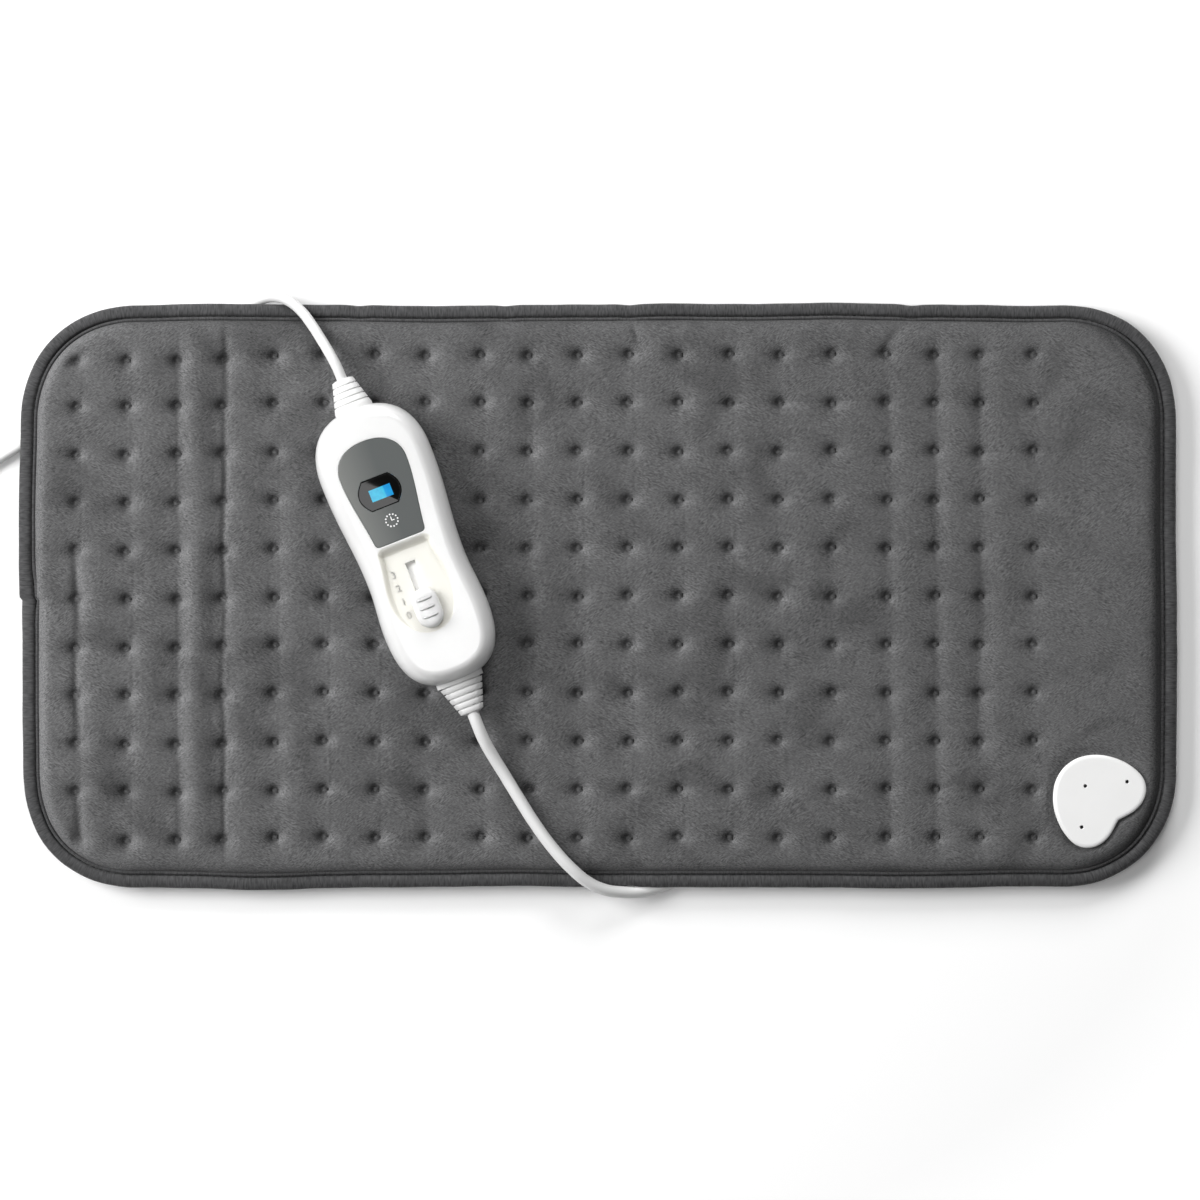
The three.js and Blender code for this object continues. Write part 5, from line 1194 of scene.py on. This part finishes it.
def make_plate(finish):
    """White terminal plate with a rolled edge and three holes."""
    outline = heart_outline(0.0, 28)
    edge = [at_height(drawn_in(outline, inset), PLATE_TOP - drop) for inset, drop in PLATE_EDGE]
    holes = [[at_height(circle(PLATE_HOLE_RADIUS + grow, 28, *at), PLATE_TOP - drop)
              for grow, drop in PLATE_HOLE_EDGE] for at in PLATE_HOLES]
    form = Form()
    form.rings(edge)
    form.cap(edge[-1][:, :2], PLATE_TOP, [hole[0][:, :2] for hole in holes])
    for hole in holes:
        form.rings(hole)
    form.cap(edge[0][:, :2], PLATE_TOP - PLATE_EDGE[0][1], [hole[-1][:, :2] for hole in holes])
    form.moved(on_plate)
    stands_for = ("terminal_plate",)
    make_piece("terminal_plate_cover", form, finish, stands_for=stands_for)


# Controller

def case_outline():
    """The casing's outline, seen from above."""
    return even_outline((0, HEAD_END), [
        ((-20, HEAD_END), (-30, 63.4), (-30, 43.4)),
        ((-30, 17.4), (-26.5, 8), (-26.5, -14)),
        ((-26.5, -24), (-28.2, -31), (-28.2, -41)),
        ((-28.2, -63), (-21.5, TAIL_END), (0, TAIL_END)),
    ], (-1, 1), 26)


def fascia_outline(grow=0.0):
    """The display fascia's outline, which may be widened."""
    foot, half, low, high = FASCIA_FOOT + grow, FASCIA_HALF + grow, FASCIA_LOW - grow, FASCIA_HIGH + grow
    return even_outline((0, high), [
        ((-0.58 * half, high), (-half, 52), (-half, 42)),
        ((-half, 30), (-foot - 1.4, low + 14.5), (-foot - 0.2, low + 2.5)),
        ((-foot - 0.07, low + 0.85), (-foot + 0.83, low), (-foot + 2.5, low)),
    ], (-1, 1), 20) + (FACE_X, 0)


def tongue_outline():
    """The finger recess, in coordinates on its floor."""
    top, narrow, wide, corner = RECESS_RUN, RECESS_NARROW, RECESS_WIDE, RECESS_CORNER
    return even_outline((0, 0), [
        ((0.55 * wide, 0), (wide, 0.16 * top), (wide, 0.44 * top)),
        ((wide, 0.62 * top), (narrow, 0.8 * top), (narrow, top - corner)),
        ((narrow, top - 0.4 * corner), (narrow - 0.6 * corner, top), (narrow - corner, top)),
    ], (-1, 1), 22)


def window_outline(grow=0.0):
    """The display window's outline: straight above and below, bowed at both sides."""
    half, high = WINDOW_SIZE[0] / 2 - WINDOW_BULGE + grow, WINDOW_SIZE[1] / 2 + grow
    t = np.linspace(0, 1, 25)
    bowed = half + 4 * WINDOW_BULGE * t * (1 - t)
    right = np.column_stack([bowed, 2 * high * t - high])
    return np.concatenate([right, right[::-1] * (-1, 1)]) + WINDOW_AT


def shell_rings(edge, way, end, rounding, steps):
    """Rings of a shell, from the lip inside its edge up or down to its rounded end."""
    outline = case_outline()
    rings = [at_height(drawn_in(outline, inset), edge + way * rise) for inset, rise in SHELL_LIP]
    start = edge + way * SHELL_LIP[-1][1]
    for i in range(1, steps + 1):
        angle = i / steps * math.pi / 2
        inset = rounding * (1 - math.cos(angle))
        rings.append(at_height(drawn_in(outline, inset), start + (end - start) * math.sin(angle)))
    return rings


def recess_rings():
    """From the flat top over a small round edge down to the sloping floor."""
    flat = tongue_outline()
    depth = np.maximum(flat[:, 1], 0) / RECESS_RUN * RECESS_DEPTH
    out = (flat - drawn_in(flat, 1.0)) * np.clip(depth / 1.2, 0.25, 1)[:, None]
    lean = RECESS_LEAN * np.clip((flat[:, 1] / RECESS_RUN - 0.85) / 0.15, 0, 1) ** 2
    rings = []
    for grow, share in RECESS_EDGE:
        at = flat + out * grow
        at[:, 1] -= lean * share
        y = RECESS_LOW + at[:, 1] * math.cos(RECESS_TILT)
        drop = np.maximum(at[:, 1], 0) * math.sin(RECESS_TILT)
        rings.append(np.column_stack([at[:, 0] + FACE_X, y, CASE_HEIGHT - drop * share]))
    return rings


def recess_floor(flat):
    """Height of the recess's sloping floor."""
    along = np.maximum((flat[:, 1] - RECESS_LOW) / math.cos(RECESS_TILT), 0)
    return CASE_HEIGHT - along * math.sin(RECESS_TILT)


def make_upper_shell(white, cream):
    """The upper casing with the fascia's seat, the finger recess and the slider's slot."""
    rings = shell_rings(CASE_PARTING + PARTING_GAP, 1, CASE_HEIGHT, TOP_ROUND, 18)
    recess = recess_rings()
    seat = [at_height(fascia_outline(grow), CASE_HEIGHT - drop) for grow, drop in FASCIA_SEAT]
    form = Form()
    form.rings(rings)
    form.cap(rings[-1][:, :2], CASE_HEIGHT, [recess[0][:, :2], seat[0][:, :2]])
    form.rings(seat)
    form.rings(recess, finish=1)
    slot = rectangle(SLOT_WIDTH / 2, SLOT_LOW, SLOT_HIGH)
    slot = np.column_stack([slot[:, 0] + FACE_X, RECESS_LOW + slot[:, 1] * math.cos(RECESS_TILT)])
    form.cap(recess[-1][:, :2], recess_floor, [slot], finish=1)
    top = np.column_stack([slot, recess_floor(slot)])
    form.rings([top, top - (0, 0, RECESS_FLOOR)], finish=1)
    form.moved(on_case)
    make_piece("case_top", form, [white, cream], stands_for=("upper_shell",))


def make_lower_shell(white):
    """The lower casing with wells for its four screws."""
    rings = shell_rings(CASE_PARTING - PARTING_GAP, -1, 0.0, BOTTOM_ROUND, 12)
    wells = [[at_height(circle(radius, 24, *at), z) for radius, z in SCREW_WELL] for at in SCREWS]
    form = Form()
    form.rings(rings)
    form.cap(rings[-1][:, :2], 0.0, [well[0][:, :2] for well in wells])
    for well in wells:
        form.rings(well)
    form.moved(on_case)
    make_piece("case_bottom", form, white, stands_for=("lower_shell",))


def make_fascia(finish):
    """The grey panel round the window."""
    outer = fascia_outline()
    hole = window_outline(WINDOW_GAP)
    rings = [at_height(drawn_in(outer, inset), CASE_HEIGHT - drop) for inset, drop in FASCIA_EDGE]
    form = Form()
    form.rings(rings)
    form.cap(rings[-1][:, :2], CASE_HEIGHT, [hole])
    form.rings([at_height(hole, CASE_HEIGHT), at_height(hole, CASE_HEIGHT - FASCIA_EDGE[0][1])])
    form.moved(on_case)
    make_piece("fascia_panel", form, finish, stands_for=("display_fascia",))


def dome(flat):
    """Height of the window's gently domed glass."""
    across = (flat[:, 0] - WINDOW_AT[0]) / (WINDOW_SIZE[0] / 2)
    along = (flat[:, 1] - WINDOW_AT[1]) / (WINDOW_SIZE[1] / 2)
    return CASE_HEIGHT - DOME_BASE + WINDOW_DOME * (1 - 0.75 * across ** 2 - 0.25 * along ** 2)


def make_window(finish):
    """Black glass: a narrow flush rim round a slightly domed pane."""
    rim = window_outline()
    rings = [at_height(drawn_in(rim, inset), CASE_HEIGHT - drop) for inset, drop in WINDOW_EDGE]
    pane = drawn_in(rim, WINDOW_RIM)
    for share in (1.0, 0.93, 0.87, 0.8, 0.68, 0.55, 0.42, 0.3, 0.18, 0.07):
        flat = WINDOW_AT + (pane - WINDOW_AT) * share
        rings.append(np.column_stack([flat, dome(flat)]))
    form = Form()
    form.rings(rings, cap_last=True)
    form.moved(on_case)
    make_piece("window_glass", form, finish, stands_for=("display_window",))


def make_display(finish):
    """The lit face of the display, close to the window's gloss."""
    xs = DISPLAY_AT[0] + np.linspace(-0.5, 0.5, 13) * DISPLAY_SIZE[0]
    ys = DISPLAY_AT[1] + np.linspace(-0.5, 0.5, 9) * DISPLAY_SIZE[1]
    gx, gy = np.meshgrid(xs, ys)
    flat = np.column_stack([gx.ravel(), gy.ravel()])
    form = Form()
    form.add(np.column_stack([flat, dome(flat) + DISPLAY_LIFT]), grid_quads(len(ys), len(xs))[1].tolist())
    form.moved(on_case)
    make_piece("display_face", form, finish)


def make_clock(finish):
    """Printed clock sign: twelve dots and two hands."""
    form = Form()
    level = CASE_HEIGHT + PRINT_LIFT
    for i in range(12):
        angle = i * math.pi / 6
        at = (CLOCK_AT[0] + CLOCK_RADIUS * math.sin(angle), CLOCK_AT[1] + CLOCK_RADIUS * math.cos(angle))
        form.cap(circle(CLOCK_DOT, 14, *at), level)
    hands = (((0, 1), -CLOCK_HAND, CLOCK_REACH[0]), ((1, 0), CLOCK_HAND, CLOCK_REACH[1]))
    for way, first, last in hands:
        across = np.array([way[1], -way[0]]) * CLOCK_HAND
        start = np.array(CLOCK_AT) + np.array(way) * first
        end = np.array(CLOCK_AT) + np.array(way) * last
        form.cap(np.array([start - across, start + across, end + across, end - across]), level)
    form.moved(on_case)
    make_piece("clock_sign", form, finish, smooth=False)


def make_numbers(finish):
    """Raised numbers beside the slot, from 0 up to 3."""
    form = Form()
    for level in range(4):
        letter = bpy.data.curves.new("number", "FONT")
        letter.body = str(level)
        letter.size = NUMBER_SIZE
        letter.extrude = NUMBER_RELIEF
        letter.bevel_depth = NUMBER_ROUND
        letter.align_x = "CENTER"
        letter.align_y = "CENTER"
        holder = bpy.data.objects.new("number", letter)
        mesh = bpy.data.meshes.new_from_object(holder)
        points = np.array([v.co for v in mesh.vertices])
        points += (NUMBER_X, NUMBER_LOW + level * NUMBER_PITCH, NUMBER_RELIEF)
        form.add(on_recess(points), [tuple(p.vertices) for p in mesh.polygons])
        bpy.data.objects.remove(holder)
        bpy.data.curves.remove(letter)
        bpy.data.meshes.remove(mesh)
    make_piece("level_numbers", form, finish, smooth=False)


def stadium(inset):
    """The knob's outline, drawn in."""
    radius = max(KNOB_WIDTH / 2 - inset, 0.05)
    reach = (KNOB_LENGTH - KNOB_WIDTH) / 2
    steps = 18
    points = []
    for sign, first in ((1, 0), (-1, math.pi)):
        for i in range(steps + 1):
            angle = first + math.pi * i / steps
            points.append((radius * math.cos(angle), KNOB_Y + sign * reach + radius * math.sin(angle)))
    return np.array(points)


def make_knob(finish):
    """The slider's knob: a domed oval with three finger ridges and its stem."""
    form = Form()
    form.rings([at_height(stadium(inset), z) for inset, z in KNOB_PROFILE], cap_first=True, cap_last=True)
    for k in (-1, 0, 1):
        rings = []
        for x in np.linspace(-GRIP_HALF, GRIP_HALF, 13):
            swell = math.sqrt(max(1 - (x / GRIP_HALF) ** 4, 0.02))
            base = KNOB_HEIGHT - GRIP_SINK - GRIP_BEND * x * x
            section = []
            for angle in np.linspace(0, 2 * math.pi, 12, endpoint=False):
                section.append((x, KNOB_Y + GRIP_PITCH * k + GRIP_WIDE * swell * math.cos(angle),
                                base + GRIP_HIGH * swell * math.sin(angle)))
            rings.append(section)
        form.rings(rings, cap_first=True, cap_last=True)
    stem = rectangle(STEM_SIZE[0], KNOB_Y - STEM_SIZE[1], KNOB_Y + STEM_SIZE[1])
    ends = [at_height(stem, -RECESS_FLOOR - STEM_DROP), at_height(stem, STEM_TOP)]
    form.rings(ends, cap_first=True, cap_last=True)
    form.moved(on_recess)
    stands_for = ("slider_knob",)
    make_piece("slider_cap", form, finish, body="slider", stands_for=stands_for)


def boot_rings(boot, end, way, level, inward):
    """A cone with a slit between one rib and the next, and a collar before the first if it has one."""
    soft, steep, sides = BOOT_SOFT, SLIT_STEEP, 44
    slit, depth, collar = boot["slit"], boot["depth"], boot["collar"]
    pitch = (boot["length"] - collar) / boot["ribs"]
    root = boot["root"] - (COLLAR_STEP if collar else 0)

    def cone(along):
        """Half width of the ribs along the boot."""
        return root + (boot["tip"] - root) * (along - collar) / (boot["length"] - collar)

    stations = [(-inward, boot["root"])] if inward else [(0.0, boot["root"] - soft)]
    if collar:
        foot = collar - slit
        stations += [(foot - soft, boot["root"]), (foot, boot["root"] - soft)]
        stations += [(foot + steep, root - depth), (collar - steep, root - depth)]
    for i in range(boot["ribs"]):
        first = collar + i * pitch
        last = first + pitch - slit
        if i or collar:
            stations.append((first, cone(first) - soft))
        stations += [(first + soft, cone(first + soft)), (last - soft, cone(last - soft))]
        stations.append((last, cone(last) - soft))
        if i < boot["ribs"] - 1:
            bottom = cone(last) - depth
            stations += [(last + steep, bottom), (first + pitch - steep, bottom)]
    stations.append((boot["length"], boot["tip"] * BOOT_MOUTH))
    angle = np.linspace(0, 2 * math.pi, sides, endpoint=False)
    rings = []
    for along, radius in stations:
        rings.append(np.column_stack([radius * np.cos(angle), np.full(sides, end + way * along),
                                      level + radius * boot["flat"] * np.sin(angle)]))
    return rings


def make_boots(finish):
    """The ribbed boots of both cords at the controller, and the plug's boot, which is handed back."""
    for name, node, boot, end, way in (("mains_boot_ribbed", "mains_cord_boot", MAINS_BOOT, HEAD_END, 1),
                                       ("pad_boot_ribbed", "pad_cord_boot", PAD_BOOT, TAIL_END, -1)):
        form = Form()
        form.rings(boot_rings(boot, end, way, CASE_PARTING, BOOT_INWARD), cap_first=True, cap_last=True)
        form.moved(on_case)
        make_piece(name, form, finish, stands_for=(node,))
    form = Form()
    form.rings(boot_rings(PLUG_BOOT, PLUG_BOOT_OFF, 1, 0.0, 0.0), cap_first=True, cap_last=True)
    form.moved(lambda points: points + PLUG_AT)
    return make_piece("plug_boot_ribbed", form, finish, stands_for=("plug_boot",))


# Scene

def finish_cad_nodes(nodes, finishes):
    """Carried-over CAD nodes get a procedural material, and some a fine bevel."""
    for finish, names in CAD_FINISHES.items():
        for name in names:
            nodes[name].data.materials.clear()
            nodes[name].data.materials.append(finishes[finish])
    for name, width in CAD_BEVELS.items():
        bevel = nodes[name].modifiers.new("bevel", "BEVEL")
        bevel.width = width * MM
        bevel.segments = 3
        bevel.limit_method = "ANGLE"
        bevel.angle_limit = math.radians(40)


def add_light(name, at, target, size, power):
    """A square lamp that shines from one place to another and isn't seen itself."""
    light = bpy.data.lights.new(name, "AREA")
    light.size = size
    light.energy = power
    holder = placed(name, light)
    holder.location = at
    holder.rotation_euler = (Vector(target) - Vector(at)).to_track_quat("-Z", "Y").to_euler()
    holder.visible_camera = False
    return holder


def make_stage():
    """A pale floor, soft light from the left and a camera straight above."""
    scene = bpy.context.scene
    scene.view_settings.view_transform = "Standard"
    corners = at_height(rectangle(FLOOR_HALF, -FLOOR_HALF, FLOOR_HALF), 0)
    mesh = bpy.data.meshes.new("floor")
    mesh.from_pydata((corners * MM).tolist(), [], [(0, 1, 2, 3)])
    mesh.materials.append(floor_material())
    floor = placed("floor", mesh)

    world = bpy.data.worlds.new("studio")
    world.use_nodes = True
    world.node_tree.nodes["Background"].inputs["Color"].default_value = (1, 1, 1, 1)
    world.node_tree.nodes["Background"].inputs["Strength"].default_value = WORLD_LIGHT
    scene.world = world
    lights = {name: add_light(name, *values) for name, values in LIGHTS.items()}
    lights["panel"].rotation_euler = (0, 0, PANEL_TURN)

    camera = bpy.data.cameras.new("camera")
    camera.sensor_width = SENSOR
    camera.lens = SENSOR / 2 * CAMERA_HEIGHT / VIEW_HALF
    camera.clip_end = 50.0
    holder = placed("camera", camera)
    holder.location = (CAMERA_AT[0] * MM, CAMERA_AT[1] * MM, (CAMERA_HEIGHT + VIEW_LEVEL) * MM)
    scene.camera = holder


def main():
    """Builds the scene on the frame."""
    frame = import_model()
    nodes = frame["nodes"]
    make_stage()
    white = moulded("case_white", (0.745, 0.745, 0.742), 0.28, coat=0.35, relief=0.015, shade=0.015,
                    through=0.5)
    cream = moulded("recess_white", (0.81, 0.8, 0.745), 0.34, coat=0.2, relief=0.015, shade=0.015,
                    through=0.85)
    cord_finish = moulded("cord_white", (0.71, 0.71, 0.707), 0.45, grain=700.0, relief=0.05, shade=0.02)
    finishes = {
        "white": white, "cord": cord_finish,
        # painted light: the shield is whiter than the case, so that the slot above it shows less shade
        "shield": moulded("shield_white", (0.93, 0.93, 0.92), 0.5, relief=0.015, shade=0.015),
        "steel": moulded("steel", (0.55, 0.56, 0.57), 0.3, metallic=1.0),
        "dark_steel": moulded("dark_steel", (0.03, 0.03, 0.032), 0.5, metallic=1.0),
        "brass": moulded("brass", (0.6, 0.42, 0.14), 0.35, metallic=1.0),
        "dark": moulded("component_dark", (0.025, 0.026, 0.028), 0.5),
        "green": moulded("board_green", (0.015, 0.14, 0.05), 0.5),
        "fleece": moulded("carrier_fleece", (0.48, 0.47, 0.43), 0.95, relief=0.2, shade=0.1),
        "sheath": moulded("heater_sheath", (0.68, 0.64, 0.55), 0.6),
        "display": display_material(),
    }
    finish_cad_nodes(nodes, finishes)

    mains = make_cord("mains_cord", mains_line(), MAINS_DIAMETER, cord_finish)
    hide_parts("mains_lead", "mains_coil", "plug_tail")
    lead = make_cord("pad_cord", pad_lead_line(), PAD_LEAD_DIAMETER, cord_finish)
    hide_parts("pad_lead")
    plug_boot = make_boots(cord_finish)
    tie = make_tie(moulded("strap_black", (0.02, 0.02, 0.021), 0.6, grain=1500.0, relief=0.12))

    lines = [(mains_line()[:len(MAINS_ROUTE) + 2], MAINS_DIAMETER / 2),
             (pad_lead_line(), PAD_LEAD_DIAMETER / 2)]
    make_pad(plush_material(), lines)
    thread = moulded("hem_thread", (0.03, 0.03, 0.032), 0.8, grain=2500.0, relief=0.1, shade=0.2)
    make_hem(hem_material(), thread, lines)
    make_plate(moulded("plate_white", (0.88, 0.88, 0.875), 0.3, coat=0.3, relief=0.015, shade=0.015))

    make_upper_shell(white, cream)
    make_lower_shell(white)
    make_fascia(fascia_material())
    make_window(moulded("window_glass", (0.002, 0.002, 0.002), 0.05, relief=0.0, shade=0.1, gloss=0.25))
    make_display(finishes["display"])
    make_clock(moulded("print_white", (0.85, 0.85, 0.85), 0.6, shade=0.02))
    make_numbers(cream)
    make_knob(white)


main()
